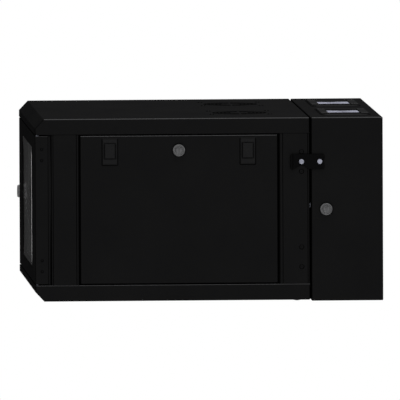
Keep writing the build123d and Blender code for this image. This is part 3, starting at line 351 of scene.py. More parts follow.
coats = {
    "black_paint": plainCoat,
    # Deeper painted shade, reaching further into the grille holes and hollows of the roof
    "roof_paint_deep_shade": {
        **plainCoat, "corner": (0.0003, 0.0003, 0.0003), "paintedShadeReach": 0.03, "paintedShadeRange": (0.85, 1.0),
    },
    # Brighter painted highlight on the panels' upward folds
    "panel_paint_fold_highlight": {**plainCoat, "upFoldPaintedLight": (0.085, 0.085, 0.087)},
    # Painted shade on all folds, darker than the coat, for the plugs and rivets
    "small_paint_fold_shade": {**plainCoat, "upFoldPaintedLight": (0.004, 0.004, 0.004), "edgeShare": 0.1, "paintedShadeReach": 0.002},
    # A darker coat, for the bracket and the fan bolts, and for the fan housings and wheels under the grille,
    # where it is painted shade
    "darker_paint_and_painted_shade": {
        **plainCoat, "dark": (0.0032, 0.0032, 0.0033), "light": (0.0036, 0.0036, 0.0037),
        "upFoldPaintedLight": (0.012, 0.012, 0.012), "paintedFoldShade": (0.002, 0.002, 0.002),
    },
    "black_plastic": {
        **plainCoat, "dark": (0.0112, 0.0112, 0.0115), "light": (0.0126, 0.0126, 0.013),
        "upFoldPaintedLight": (0.010, 0.010, 0.010), "paintedFoldShade": (0.0028, 0.0028, 0.0028), "edgeShare": 0.1,
        "grain": 2400.0, "patches": 30.0, "grainHeight": 0.00003, "roughness": 0.42, "paintedShadeReach": 0.002,
    },
    "entry_plastic": {
        **plainCoat, "dark": (0.0048, 0.0048, 0.005), "light": (0.0055, 0.0055, 0.0057),
        "upFoldPaintedLight": (0.02, 0.02, 0.02), "grain": 2400.0, "grainHeight": 0.00003, "roughness": 0.42,
    },
    "clamp_plastic": {
        **plainCoat, "dark": (0.0122, 0.0122, 0.0126), "light": (0.0138, 0.0138, 0.0142),
        "upFoldPaintedLight": (0.03, 0.03, 0.03), "grain": 2400.0, "grainHeight": 0.00003, "roughness": 0.42,
        "paintedShadeReach": 0.002,
    },
    "black_steel": {
        **plainCoat, "dark": (0.008, 0.008, 0.009), "light": (0.012, 0.012, 0.013),
        "edge": (0.04, 0.04, 0.041), "edgeRadius": 0.0004, "grain": 3000.0, "patches": 120.0,
        "grainHeight": 0.00002, "roughness": 0.4,
    },
    "black_rubber": {
        **plainCoat, "dark": (0.008, 0.008, 0.008), "light": (0.011, 0.011, 0.011),
        "upFoldPaintedLight": (0.015, 0.015, 0.015), "grain": 1800.0, "patches": 40.0, "roughness": 0.75,
    },
}
# What the metals share
plainMetal = {
    "edgeRadius": 0.0004, "edgeHigh": 0.2, "brushing": 900.0, "brushHeight": 0.00002, "brushStrength": 0.5,
    "roughSpread": 0.06,
}
metals = {
    "zinc": {
        **plainMetal, "dark": (0.26, 0.27, 0.32), "light": (0.35, 0.36, 0.43), "edge": (0.5, 0.51, 0.58),
        "stretch": 0.2, "roughness": 0.36,
    },
    "chrome": {
        **plainMetal, "dark": (0.09, 0.09, 0.092), "light": (0.13, 0.13, 0.133), "edge": (0.2, 0.2, 0.205),
        "brushing": 1500.0, "stretch": 0.1, "brushHeight": 0.00001, "roughness": 0.24,
    },
    "copper": {
        **plainMetal, "dark": (0.42, 0.17, 0.09), "light": (0.6, 0.28, 0.16), "edge": (0.75, 0.42, 0.28),
        "stretch": 0.3, "roughness": 0.35,
    },
}
materials = {name: coatedMaterial(name, look) for name, look in coats.items()}
materials.update({name: metalMaterial(name, look) for name, look in metals.items()})

glassLook = {
    "tint": (0.014, 0.0145, 0.015), "dust": (0.03, 0.03, 0.03), "dustShare": 0.15, "grain": 2600.0,
    "patches": 2.0, "roughness": 0.03, "smear": 0.01, "alpha": 0.5, "alphaSpread": 0.02,
}


# Tinted glass: a dark see-through sheet whose fine dust makes it rougher and less clear in places
def makeGlassMaterial(look):
    material, tree, shader, coordinates = startMaterial("tinted_glass")
    place = coordinates.outputs["Object"]
    grain = useGroup(tree, grainGroup, place, Scale=look["grain"], Patches=look["patches"])
    patch = grain.outputs["Patch"]
    dusty = spreadValue(tree, patch, 0.0, look["dustShare"])
    tree.links.new(mixColour(tree, dusty, look["tint"], look["dust"]), shader.inputs["Base Color"])
    smeared = spreadValue(tree, patch, look["roughness"], look["roughness"] + look["smear"])
    tree.links.new(smeared, shader.inputs["Roughness"])
    clear = spreadValue(tree, patch, look["alpha"], look["alpha"] + look["alphaSpread"])
    tree.links.new(clear, shader.inputs["Alpha"])
    return material


bristleFinish = {
    "dark": (0.17, 0.175, 0.215), "light": (0.27, 0.275, 0.33), "grain": 1500.0, "patches": 220.0,
    "roughness": (0.4, 0.6),
}


# Pale nylon strands, each a little different along its length
def makeBristleMaterial(look):
    material, tree, shader, coordinates = startMaterial("brush_nylon")
    place = coordinates.outputs["Object"]
    grain = useGroup(tree, grainGroup, place, Scale=look["grain"], Patches=look["patches"])
    share = spreadValue(tree, grain.outputs["Patch"], 0.0, 1.0)
    tree.links.new(mixColour(tree, share, look["dark"], look["light"]), shader.inputs["Base Color"])
    rough = spreadValue(tree, grain.outputs["Patch"], *look["roughness"])
    tree.links.new(rough, shader.inputs["Roughness"])
    shader.inputs["Specular IOR Level"].default_value = 0.0
    return material


materials["tinted_glass"] = makeGlassMaterial(glassLook)
materials["brush_nylon"] = makeBristleMaterial(bristleFinish)
# Pieces with their own coat: a darker one on the bracket, painted shade on the fan housings under the grille,
# deeper painted shade on the roof, and brighter painted fold highlights on the side panels
ownFinish = {
    "transit_bracket": "darker_paint_and_painted_shade", "roof_cover": "roof_paint_deep_shade",
    "side_panel_right": "panel_paint_fold_highlight", "side_panel_left": "panel_paint_fold_highlight",
    "fan_housing_right": "darker_paint_and_painted_shade", "fan_housing_left": "darker_paint_and_painted_shade",
}
for part in frame["record"]["subparts"]:
    node = frame["nodes"][part["node"]]
    node.data.materials.clear()
    node.data.materials.append(materials[ownFinish.get(part["node"], part["material_slot"])])
print("materials made:", ", ".join(materials))


# Surfaces. A solid is points and outward faces. Its signed volume, the sum over its triangles of first
# corner times the cross product of the others, is below nought where it is inside out
def solid(points, quads, triangles=()):
    quads = np.asarray(quads, int).reshape(-1, 4)
    triangles = np.asarray(triangles, int).reshape(-1, 3)
    fans = np.concatenate([quads[:, [0, 1, 2]], quads[:, [0, 2, 3]], triangles])
    first, second, third = (points[fans[:, k]] - points.mean(axis=0) for k in range(3))
    if np.einsum("ij,ij->i", first, np.cross(second, third)).sum() < 0:
        quads, triangles = quads[:, ::-1], triangles[:, ::-1]
    return points, quads.tolist() + triangles.tolist()


# Quads between neighbouring rings whose columns close on themselves: corner is ring times columns plus column
def gridQuads(rings, columns):
    ring, column = np.meshgrid(np.arange(rings - 1), np.arange(columns), indexing="ij")
    after = (column + 1) % columns
    corners = (ring * columns + column, ring * columns + after, (ring + 1) * columns + after,
               (ring + 1) * columns + column)
    return np.stack(corners, axis=-1).reshape(-1, 4)


# A closed surface through rings of points, its two ends fanned to their middles
def skin(rings):
    count, columns = rings.shape[:2]
    points = np.concatenate([rings.reshape(-1, 3), rings[[0, -1]].mean(axis=1)])
    around = np.arange(columns)
    after, last = (around + 1) % columns, (count - 1) * columns
    low = np.stack([np.full(columns, count * columns), after, around], axis=-1)
    high = np.stack([np.full(columns, count * columns + 1), around + last, after + last], axis=-1)
    return solid(points, gridQuads(count, columns), np.concatenate([low, high]))


# A ring-shaped solid: the last ring of the section joins the first
def band(rings):
    count, columns = rings.shape[:2]
    return solid(rings.reshape(-1, 3), gridQuads(count + 1, columns) % (count * columns))


# Rectangle with round corners, as one row of points: corner centre plus corner radius times cosine and sine.
# A corner is one radius, or four of them, anticlockwise from the corner with both coordinates positive
def roundedBox(width, height, corner, steps=5):
    radius = np.repeat(np.broadcast_to(np.minimum(corner, min(width, height) / 2), 4), steps + 1)[:, None]
    quarters = [quarter * math.pi / 2 + np.linspace(0, math.pi / 2, steps + 1) for quarter in range(4)]
    angle = np.concatenate(quarters)
    signs = np.repeat([(1, 1), (-1, 1), (-1, -1), (1, -1)], steps + 1, axis=0)
    centre = signs * (np.array([width, height]) / 2 - radius)
    return centre + radius * np.stack([np.cos(angle), np.sin(angle)], axis=-1)


# Regular polygon across its flats: half the flats over the cosine of the angle from the nearest flat
def sidesShape(flats, count):
    half = math.pi / count
    return lambda angle: flats / 2 / np.cos((angle + half) % (2 * half) - half)


# Circle cut by two flats: the smaller of the radius and half the flats over the angle's cosine
def flattenedShape(radius, flats):
    return lambda angle: np.minimum(radius, flats / 2 / np.maximum(np.abs(np.cos(angle)), 1e-6))


# Box by angle, for sections that pass into a circle: a power sum of both distances
def squareShape(width, height, power):
    return lambda angle: (
        (np.abs(np.cos(angle)) / (width / 2)) ** power + (np.abs(np.sin(angle)) / (height / 2)) ** power
    ) ** (-1 / power)


# Plus sign: the smaller of the arm's end and the arm's side along each angle
def crossShape(arm, width):
    return lambda angle: np.minimum(
        arm / np.maximum(np.abs(np.cos(angle)), np.abs(np.sin(angle))),
        width / 2 / np.maximum(np.minimum(np.abs(np.cos(angle)), np.abs(np.sin(angle))), 1e-6),
    )


# Rings from a profile of outlines and heights. An outline is a radius, a radius for each angle, or a row of
# points; an optional third entry moves its middle. place: middle, sideways, upright and outward directions
def ringsOf(profile, place, columns):
    middle, side, up, out = (np.array(part, float) for part in place)
    angle = np.linspace(0, 2 * math.pi, columns, endpoint=False)
    rings = []
    for shape, height, *moved in profile:
        reach = shape(angle) if callable(shape) else shape
        if np.ndim(reach) < 2:
            reach = np.stack([reach * np.cos(angle), reach * np.sin(angle)], axis=-1)
        level = height(np.hypot(*reach.T)) if callable(height) else np.full(len(reach), float(height))
        outline = reach + np.array(moved[0] if moved else (0, 0))
        rings.append(middle + outline[:, :1] * side + outline[:, 1:] * up + level[:, None] * out)
    return np.array(rings)


# A profile carried round its middle and closed at both ends
def turned(profile, place, columns=64):
    return skin(ringsOf(profile, place, columns))


# A profile carried round its middle, its last outline joined to its first
def tube(profile, place, columns=64):
    return band(ringsOf(profile, place, columns))


# A block between two corners: its section's corners are eased, and both ends draw in along a quarter circle
def roundedBar(low, high, corner, along=2, steps=3):
    low, high = np.array(low, float), np.array(high, float)
    size, axes = high - low, np.eye(3)
    width, height, half = size[(along + 1) % 3], size[(along + 2) % 3], size[along] / 2
    ease = np.linspace(0, math.pi / 2, steps + 1)
    profile = [
        (roundedBox(width - 2 * inset, height - 2 * inset, corner, 3), level)
        for inset, level in zip(corner * (1 - np.sin(ease)), corner * (1 - np.cos(ease)) - half)
    ]
    profile += [(shape, -level) for shape, level in reversed(profile)]
    return turned(profile, ((low + high) / 2, axes[(along + 1) % 3], axes[(along + 2) % 3], axes[along]))


# A bar between two corners with flat ends, each of its four long edges rounded by its own radius
def foldBar(low, high, radii, along):
    low, high = np.array(low, float), np.array(high, float)
    first, second = (along + 1) % 3, (along + 2) % 3
    size, axes = high - low, np.eye(3)
    outline, half = roundedBox(size[first], size[second], radii, 8), size[along] / 2
    place = ((low + high) / 2, axes[first], axes[second], axes[along])
    return turned([(outline, -half), (outline, half)], place)


# Mirror image about the plane where the axis reads the given value
def mirroredCopy(part, axis=0, about=0.0):
    points, faces = part
    copied = points.copy()
    copied[:, axis] = 2 * about - copied[:, axis]
    return copied, [face[::-1] for face in faces]


# One object from solids in millimetres, riding on a body and standing for the nodes it replaces. Its finish
# is its slot's, unless another is named
def makePiece(name, parts, body, slot, nodes=(), angle=38, finish=None):
    points, faces, count = [], [], 0
    for partPoints, partFaces in parts:
        points.append(partPoints)
        faces += [[index + count for index in face] for face in partFaces]
        count += len(partPoints)
    mesh = bpy.data.meshes.new(name)
    mesh.from_pydata((np.concatenate(points) * mm).tolist(), [], faces)
    mesh.update()
    mesh.shade_smooth()
    mesh.set_sharp_from_angle(angle=math.radians(angle))
    mesh.materials.append(materials[finish or slot])
    piece = bpy.data.objects.new(name, mesh)
    scene.collection.objects.link(piece)
    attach(piece, body)
    if nodes:
        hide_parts(*nodes)


# Both corners of a node's box, in millimetres
def nodeBox(node):
    return [np.array(corner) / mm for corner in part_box(node)]


# Places for a profile, as its middle and its sideways, upright and outward directions. An outward of -1 turns
# the profile round
def faceRight(x, y, z, outward=1):
    return (x, y, z), (0, 1, 0), (0, 0, 1), (outward, 0, 0)


def faceUp(x, y, z, outward=1):
    return (x, y, z), (1, 0, 0), (0, 1, 0), (0, 0, outward)


def faceRear(x, y, z, outward=1):
    return (x, y, z), (1, 0, 0), (0, 0, 1), (0, outward, 0)


# Ridged shank of a screw, from its tip to the bearing face: the radius is less by the depth
# at every other half pitch
def threads(radius, depth, pitch, length, start=0.0):
    steps = int((length - start) / pitch) * 2
    return [(radius - depth * (step % 2), -length + step * pitch / 2) for step in range(steps)]


# Folded edges of the covers, the posts and the door, which carry the sheet on round its bends
foldLook = {
    "side": 300.0,
    "middle": 1.0,
    "frame": 138.6,
    "coverFold": 2.4,
    "coverReturn": 11.0,
    "front": -625.7,
    "rear": -131.7,
    "postSide": 299.5,
    "postBend": 3.2,
    "postFolds": ((-596.7, -593.7, 8.5, 3), (-550.7, -546.5, 10.0, 0), (-187.3, -180.7, 10.0, 3),
                  (-134.7, -132.0, 8.5, 0)),
    "stop": (-601.4, -596.7, 291.0, 297.6),  # lip on the left post, inside the door's flange when it is shut
    "stopBend": 1.2,
    "flange": (-601.7, -598.5, 299.0, 1.2, 134.5),  # from and to along the depth, outer side, sheet and top
    "flangeBend": 0.4,
}
sharp = 0.02  # a corner that is left all but square


# Quarter rounds under the roof cover's sides and front, and their mirror image on the floor cover
def coverFolds(look):
    side, top, fold = look["side"], look["frame"], look["coverFold"]
    right = foldBar((side - look["coverReturn"], look["front"], top - fold), (side, look["rear"], top),
                    (sharp, fold - 0.05, sharp, sharp), 1)
    front = foldBar((-side, look["front"], top - fold), (side, look["front"] + fold, top),
                    (sharp, sharp, fold - 0.05, sharp), 0)
    roof = [right, mirroredCopy(right), front]
    return roof, [mirroredCopy(part, 2, look["middle"]) for part in roof]


# Each post's edge strips, rounded where they meet the side; the last number of a fold names that corner
def postFolds(look, sides):
    side, top = look["postSide"], look["frame"] - look["coverFold"]
    bottom = 2 * look["middle"] - top
    parts = []
    for start, end, width, corner in look["postFolds"]:
        radii = [sharp] * 4
        radii[corner] = min(look["postBend"], end - start - 0.1)
        parts.append(foldBar((side - width, start, bottom), (side, end, top), radii, 2))
    if sides > 0:
        return parts
    start, end, inner, outer = look["stop"]
    radii = (sharp, sharp, sharp, look["stopBend"])
    parts.append(foldBar((inner, start, bottom), (outer, end, top), radii, 2))
    return [mirroredCopy(part) for part in parts]


roofFolds, floorFolds = coverFolds(foldLook)
makePiece("roof_folds", roofFolds, "main", "black_paint")
makePiece("floor_folds", floorFolds, "main", "black_paint")
for side, sign in (("right", 1), ("left", -1)):
    makePiece(f"post_folds_{side}", postFolds(foldLook, sign), "main", "black_paint")
flangeStart, flangeEnd, flangeSide, flangeSheet, flangeTop = foldLook["flange"]
flange = foldBar((flangeSide - flangeSheet, flangeStart, 2 * foldLook["middle"] - flangeTop),
                 (flangeSide, flangeEnd, flangeTop), (foldLook["flangeBend"], sharp, sharp, sharp), 2)
makePiece("door_flange_edges", [flange, mirroredCopy(flange)], "door", "black_paint")
print("folds made")

# Cam locks
lockLook = {
    "headRadius": 11.75,
    "headHeight": 5.0,
    "rimHeight": 1.1,
    "domePower": 0.8,
    "lipRadius": 9.0,
    "grooveRadius": 8.4,
    "grooveHeight": 1.8,
    "bore": 6.56,
    "plugRadius": 6.5,
    "faceStep": 0.7,
    "keyWidth": 3.2,
    "keyLength": 9.0,
    "keyDepth": 3.2,
    "barrelRadius": 9.5,
    "flats": 16.4,
    "threadPitch": 1.25,
    "threadDepth": 0.35,
    "threadStart": 1.5,
    "threadShift": 0.2,
    "tail": 7.0,
    "camThickness": 2.0,
    "camGap": 0.3,
    "screwFlats": 8.6,
    "screwHeight": 2.4,
    "barrels": {"side": 16.0, "rear": 25.0, "door": 35.0},
    "rearPlace": (300.0, -102.2, 0.0),
    "doorPlace": (-277.0, -625.5, 1.0),
}


# Domed head, inner groove and flatted barrel with thread ridges, round an open bore. The dome's reach is a
# power of the cosine and its rise the sine of one turn
def lockHousing(look, place, barrel):
    turn = np.linspace(0, math.pi / 2, 9)
    reach, rise = look["headRadius"] - look["lipRadius"], look["headHeight"] - look["rimHeight"]
    dome = zip(look["lipRadius"] + reach * np.clip(np.cos(turn), 0, 1) ** look["domePower"],
               look["rimHeight"] + rise * np.sin(turn))
    radius, depth, pitch, start, shift = (
        look[key] for key in ("barrelRadius", "threadDepth", "threadPitch", "threadStart", "threadShift")
    )
    profile = [(look["bore"], -barrel)]
    profile += [
        (flattenedShape(ridge, look["flats"]), level + shift)
        for ridge, level in threads(radius, depth, pitch, barrel, start)
    ]
    profile += [
        (flattenedShape(look["barrelRadius"], look["flats"]), 0.0),
        (look["headRadius"] - 0.15, 0.0),
        (look["headRadius"], 0.2),
        (look["headRadius"], look["rimHeight"] * 0.7),
        *dome,
        (look["grooveRadius"] + 0.25, look["headHeight"] - 0.35),
        (look["grooveRadius"] + 0.1, look["grooveHeight"]),
        (look["bore"], look["grooveHeight"]),
        (look["bore"], 0.0),
    ]
    return tube(profile, place, 72)


# Turning face with its key slot, the plug, its square tail and the cam's hexagon screw
def lockPlug(look, place, barrel):
    face, radius = look["headHeight"] - look["faceStep"], look["plugRadius"]
    back = -barrel - look["camGap"]
    tailEnd = back - look["camThickness"]
    key = squareShape(look["keyWidth"], look["keyLength"], 5)
    keyEdge = squareShape(look["keyWidth"] + 0.7, look["keyLength"] + 0.7, 5)
    throat = squareShape(look["keyWidth"] * 0.55, look["keyLength"] * 0.9, 5)
    tail = squareShape(look["tail"], look["tail"], 16)
    screw, screwEnd = sidesShape(look["screwFlats"], 6), tailEnd - look["screwHeight"]
    profile = [
        (throat, face - look["keyDepth"]), (throat, face - 1.1), (key, face - 0.9), (key, face - 0.25),
        (keyEdge, face), (radius - 1.3, face + 0.02), (radius - 1.1, face - 0.3), (radius - 0.8, face - 0.3),
        (radius - 0.6, face), (radius - 0.3, face), (radius, face - 0.3), (radius, back),
        (tail, back), (tail, tailEnd), (5.0, tailEnd), (5.0, tailEnd - 0.5), (screw, tailEnd - 0.5),
        (screw, screwEnd + 0.3), (look["screwFlats"] / 2 - 0.3, screwEnd),
    ]
    return turned(profile, place, 96)


# A lock's housing on the first body and its turning plug on the second
def makeLock(kind, place, bodies, suffix=""):
    barrel = lockLook["barrels"][kind]
    for piece, node, shape, body in (
        ("head", "housing", lockHousing, bodies[0]),
        ("key_plug", "plug", lockPlug, bodies[1]),
    ):
        makePiece(f"{kind}_lock_{piece}{suffix}", [shape(lockLook, place, barrel)], body, "chrome",
                  [f"{kind}_lock_{node}{suffix}"])


for side, outward in (("right", 1), ("left", -1)):
    low, high = nodeBox(f"side_lock_housing_{side}")
    x = high[0] - lockLook["headHeight"] if outward > 0 else low[0] + lockLook["headHeight"]
    place = faceRight(x, (low[1] + high[1]) / 2, (low[2] + high[2]) / 2, outward)
    makeLock("side", place, (f"side_panel_{side}", f"side_lock_{side}"), f"_{side}")
makeLock("rear", faceRight(*lockLook["rearPlace"]), ("rear", "rear_lock"))
makeLock("door", faceRear(*lockLook["doorPlace"], -1), ("door", "door_lock"))
print("locks made")

# Screws, plugs and rivets
screwLook = {
    "flange": 4.6,
    "flats": 7.8,
    "height": 3.2,
    "flangeHeight": 0.8,
    "shank": 2.5,
    "threadDepth": 0.22,
    "threadPitch": 0.8,
    "length": 9.0,
    "coneSlope": 0.6,
    "middle": 85.75,  # height of a hinge's middle above or below the swing's own
    "steps": (-17.75, 17.75),
    "rows": (("main", -146.5, -301.5, 302.5), ("rear", -113.7, -302.0, 303.0)),  # body, depth and both faces
}


# Flanged hexagon screw: the top's corners are cut by a cone, so height falls with reach
def hexScrew(look, place):
    half, top, flange = look["flats"] / 2, look["height"], look["flangeHeight"]
    hexagon = sidesShape(look["flats"], 6)
    profile = threads(look["shank"], look["threadDepth"], look["threadPitch"], look["length"])
    profile += [
        (look["shank"], 0.0), (look["flange"], 0.0), (look["flange"], flange * 0.5),
        (look["flange"] - 0.4, flange), (hexagon, flange + 0.15),
        (hexagon, lambda reach: top - 0.1 - (reach - half) * look["coneSlope"]),
        (half - 0.35, top), (half - 1.3, top), (half - 1.7, top - 0.35),
    ]
    return turned(profile, place, 48)


holeHeights = [sign * (screwLook["middle"] + step) for sign in (-1, 1) for step in screwLook["steps"]]
for body, y, hingeFace, bracketFace in screwLook["rows"]:
    hingeBolts = [hexScrew(screwLook, faceRight(hingeFace, y, z, -1)) for z in holeHeights]
    makePiece(f"hinge_bolts_{body}", hingeBolts, body, "black_steel", [f"side_screws_{body}"])
    bracketBolt = hexScrew(screwLook, faceRight(bracketFace, y, screwLook["middle"]))
    makePiece(f"bracket_bolt_{body}", [bracketBolt], body, "zinc")

plugLook = {
    "face": (299.5, -146.5),
    "profile": [(2.7, -3.0), (3.0, -2.4), (3.0, 0.0), (4.6, 0.0), (4.4, 0.25), (3.3, 0.82), (3.0, 0.9),
                (1.1, 0.9), (0.9, 0.7), (0.5, 0.65)],
    "sharpFrom": 12,
}
plugs = [turned(plugLook["profile"], faceRight(*plugLook["face"], z), 40) for z in holeHeights]
makePiece("blanking_plugs", plugs, "main", "black_plastic", ["hole_plugs"], plugLook["sharpFrom"],
          "small_paint_fold_shade")

rivetLook = {
    "face": (299.0, -613.5),
    "middle": 1.0,
    "fromMiddle": 100.0,
    "steps": (-10, 10),
    "profile": [(1.9, -0.6), (1.9, -0.02), (2.7, -0.02), (2.7, 0.1), (2.35, 0.55), (1.6, 0.85), (0.8, 0.98)],
}
rivets = [
    turned(rivetLook["profile"], faceRight(*rivetLook["face"], rivetLook["middle"] + height), 32)
    for height in (sign * (rivetLook["fromMiddle"] + step) for sign in (-1, 1) for step in rivetLook["steps"])
]
makePiece("door_rivets", rivets, "door", "black_steel", finish="small_paint_fold_shade")

fanPlaces = {"across": 137.5, "depth": -248.7, "roof": 165.0, "holes": (-52.5, 52.5)}
fanScrewLook = {"shank": 2.1, "threadDepth": 0.25, "threadPitch": 1.4, "length": 9.0}
fanScrewHead = [
    (2.1, 0.0), (3.9, 0.0), (4.0, 0.2), (3.7, 0.7), (2.9, 1.15), (2.2, 1.38), (crossShape(1.7, 0.8), 1.4),
    (crossShape(1.4, 0.6), 0.6), (0.3, 0.45),
]
fanProfile = threads(*fanScrewLook.values()) + fanScrewHead
fanScrews = [
    turned(fanProfile, faceUp(middle + across, fanPlaces["depth"] + along, fanPlaces["roof"]), 48)
    for middle in (-fanPlaces["across"], fanPlaces["across"])
    for across in fanPlaces["holes"]
    for along in fanPlaces["holes"]
]
makePiece("fan_bolts", fanScrews, "main", "black_steel", ["fan_screws"], finish="darker_paint_and_painted_shade")

# Earth stud and its flanged nut, under the floor
nutSides = sidesShape(13.0, 6)
earthLook = {
    "place": (255.0, -152.7, -163.0),
    "radius": 3.0,
    "threadDepth": 0.3,
    "threadStart": -9.6,
    "threadStep": 0.5,
    "threadSteps": 26,
    "tip": [(2.6, -10.3), (3.0, -9.9)],
    "end": [(3.0, 3.3), (2.5, 3.7)],
    "nut": [(3.02, 0.0), (7.4, 0.0), (7.5, 0.3), (7.1, 0.9), (nutSides, 1.0),
            (nutSides, lambda reach: 6.2 - reach * 0.5), (6.0, 3.1), (3.4, 3.1), (3.02, 2.8)],
}
earthPlace = faceUp(*earthLook["place"], -1)
studThread = [
    (earthLook["radius"] - earthLook["threadDepth"] * (step % 2),
     earthLook["threadStart"] + earthLook["threadStep"] * step)
    for step in range(earthLook["threadSteps"])
]
stud = turned(earthLook["tip"] + studThread + earthLook["end"], earthPlace, 48)
makePiece("earth_bolt", [stud], "main", "copper", ["earth_stud"], finish="black_steel")
makePiece("earth_flange_nut", [tube(earthLook["nut"], earthPlace, 48)], "main", "zinc", ["earth_nut"],
          finish="black_steel")
print("fasteners made")

# Slide latches
latchLook = {
    "plate": (27.8, 47.5, 1.4),
    "body": (23.1, 42.8),
    "bodyBack": 292.0,
    "panelFace": 299.0,
    "plateTop": 300.2,
    "plateMiddle": 105.25,
    "stemSlot": (12.7, 17.7),
    "stemSlotMiddle": 109.25,
    "pad": (19.3, 26.5),
    "padMiddle": 106.75,
    "padFace": (300.35, 301.65),
    "moat": 1.4,
    "moatFloor": 299.2,
    "bevel": (1.1, 1.6),  # how far the foot stands out past the plate, and how far its slope reaches in
    "ribs": 5,
    "ribDepth": 0.15,
    "ribStart": (0.14, 0.06),  # how far from the rim the ribs begin, and the stretch over which they deepen
    "edgeDrop": 0.55,
    "edgeShare": 0.05,
    "grid": (61, 25),
    "stem": (291.65, 12.0),
    "carrier": (285.7, 23.8, 93.5),
    "tongue": (282.7, 14.0),
    "round": 0.4,
    "travel": 5.0,
}


# Finger pad on a grid of two shares from -1 to 1: the face drops along a quarter circle at its rim, and sinks
# into grooves with the cosine of the upright share
def latchPad(look, y):
    (width, height), (back, face) = look["pad"], look["padFace"]
    start, ease = look["ribStart"]
    upward, across = np.meshgrid(*(np.linspace(-1, 1, count) for count in look["grid"]), indexing="ij")
    rim = np.minimum(1 - np.abs(upward), (1 - np.abs(across)) * width / height)
    drop = look["edgeDrop"] * (1 - np.sqrt(1 - (1 - np.clip(rim / look["edgeShare"], 0, 1)) ** 2))
    groove = np.clip((rim - start) / ease, 0, 1) * (0.5 - 0.5 * np.cos(upward * math.pi * look["ribs"])) ** 2
    level = face - drop - look["ribDepth"] * groove
    top = np.stack([level, y + across * width / 2, look["padMiddle"] + upward * height / 2], axis=-1)
    under = top.copy()
    under[..., 0] = back
    return slab(top, under)


# A closed solid between two equal grids of points: both faces, and quads round their shared rim
def slab(top, under):
    rows, columns = top.shape[:2]
    points = np.concatenate([top.reshape(-1, 3), under.reshape(-1, 3)])
    row, column = np.meshgrid(np.arange(rows - 1), np.arange(columns - 1), indexing="ij")
    first = (row * columns + column).reshape(-1)
    upper = np.stack([first, first + 1, first + columns + 1, first + columns], axis=-1)
    rim = np.concatenate(
        [
            np.arange(columns),
            np.arange(1, rows) * columns + columns - 1,
            (rows - 1) * columns + np.arange(columns - 2, -1, -1),
            np.arange(rows - 2, 0, -1) * columns,
        ]
    )
    after, below = np.roll(rim, -1), rows * columns
    sides = np.stack([after, rim, rim + below, after + below], axis=-1)
    return solid(points, np.concatenate([upper, upper[:, ::-1] + below, sides]))


# Rounded plate with a sunk floor under the pad and a slot for the stem, all one ring-shaped section
def latchBezel(look, y):
    (width, height, corner), (bodyWidth, bodyHeight) = look["plate"], look["body"]
    (padWidth, padHeight), (slotWidth, slotHeight) = look["pad"], look["stemSlot"]
    moat, top, floor = 2 * look["moat"], look["plateTop"], look["moatFloor"]
    foot, slope = look["bevel"]
    padMoved, slotMoved = ((0, look[key] - look["plateMiddle"]) for key in ("padMiddle", "stemSlotMiddle"))
    profile = [
        (roundedBox(bodyWidth, bodyHeight, 1.2), look["bodyBack"]),
        (roundedBox(bodyWidth, bodyHeight, 1.2), look["panelFace"]),
        (roundedBox(width + 2 * foot, height + 2 * foot, corner + foot), look["panelFace"]),
        (roundedBox(width, height, corner), top - 0.5),
        (roundedBox(width - 2 * slope, height - 2 * slope, 0.6), top),
        (roundedBox(padWidth + moat + 0.6, padHeight + moat + 0.6, 1.6), top, padMoved),
        (roundedBox(padWidth + moat, padHeight + moat, 1.3), top - 0.3, padMoved),
        (roundedBox(padWidth + moat, padHeight + moat, 1.3), floor, padMoved),
        (roundedBox(slotWidth, slotHeight, 0.5), floor, slotMoved),
        (roundedBox(slotWidth, slotHeight, 0.5), look["bodyBack"], slotMoved),
    ]
    return tube(profile, faceRight(0.0, y, look["plateMiddle"]))


# The tongue ends at the given height, and its carrier lower by the slider's travel
def latchSlider(look, y, tongueHigh):
    stemBack, stem = look["stem"]
    carrierBack, carrierWidth, carrierLow = look["carrier"]
    tongueBack, tongueWidth = look["tongue"]
    carrierHigh, middle = tongueHigh - look["travel"], look["padMiddle"]
    parts = [latchPad(look, y)]
    for start, end, width, low, high, along in (
        (stemBack, look["padFace"][0] + 0.05, stem, middle - stem / 2, middle + stem / 2, 0),
        (carrierBack, stemBack, carrierWidth, carrierLow, carrierHigh, 1),
        (tongueBack, carrierBack, tongueWidth, middle, tongueHigh, 1),
    ):
        near, far = (start, y - width / 2, low), (end, y + width / 2, high)
        parts.append(roundedBar(near, far, look["round"], along))
    return parts


for side in ("right", "left"):
    bezels = []
    for place in ("front", "rear"):
        node = f"latch_slider_{place}_{side}"
        low, high = nodeBox(node)
        y = (low[1] + high[1]) / 2
        parts, bezel = latchSlider(latchLook, y, high[2]), latchBezel(latchLook, y)
        if side == "left":
            parts, bezel = [mirroredCopy(part) for part in parts], mirroredCopy(bezel)
        makePiece(f"latch_{place}_pad_{side}", parts, f"latch_{place}_{side}", "black_plastic", [node])
        bezels.append(bezel)
    makePiece(f"latch_frames_{side}", bezels, f"side_panel_{side}", "black_plastic", [f"latch_bezels_{side}"])
print("latches made")

# Strike of the rear lock: a painted foot on the rear post, a rivet, and a plated hook
strikeLook = {
    "foot": (264.0, 296.2, -25.0, 8.7, 1.5),
    "round": 0.3,
    "rivet": (286.0, -20.6),
    "rivetProfile": [(2.4, 1.4), (2.4, 1.7), (1.9, 2.1), (0.8, 2.35)],
    "strip": (264.0, 266.0),
    "rise": (-129.2, -116.2),
    "heights": (1.0, 8.7, 26.0),
    "hook": (276.0, -92.2, 11.0, 2.0),
}


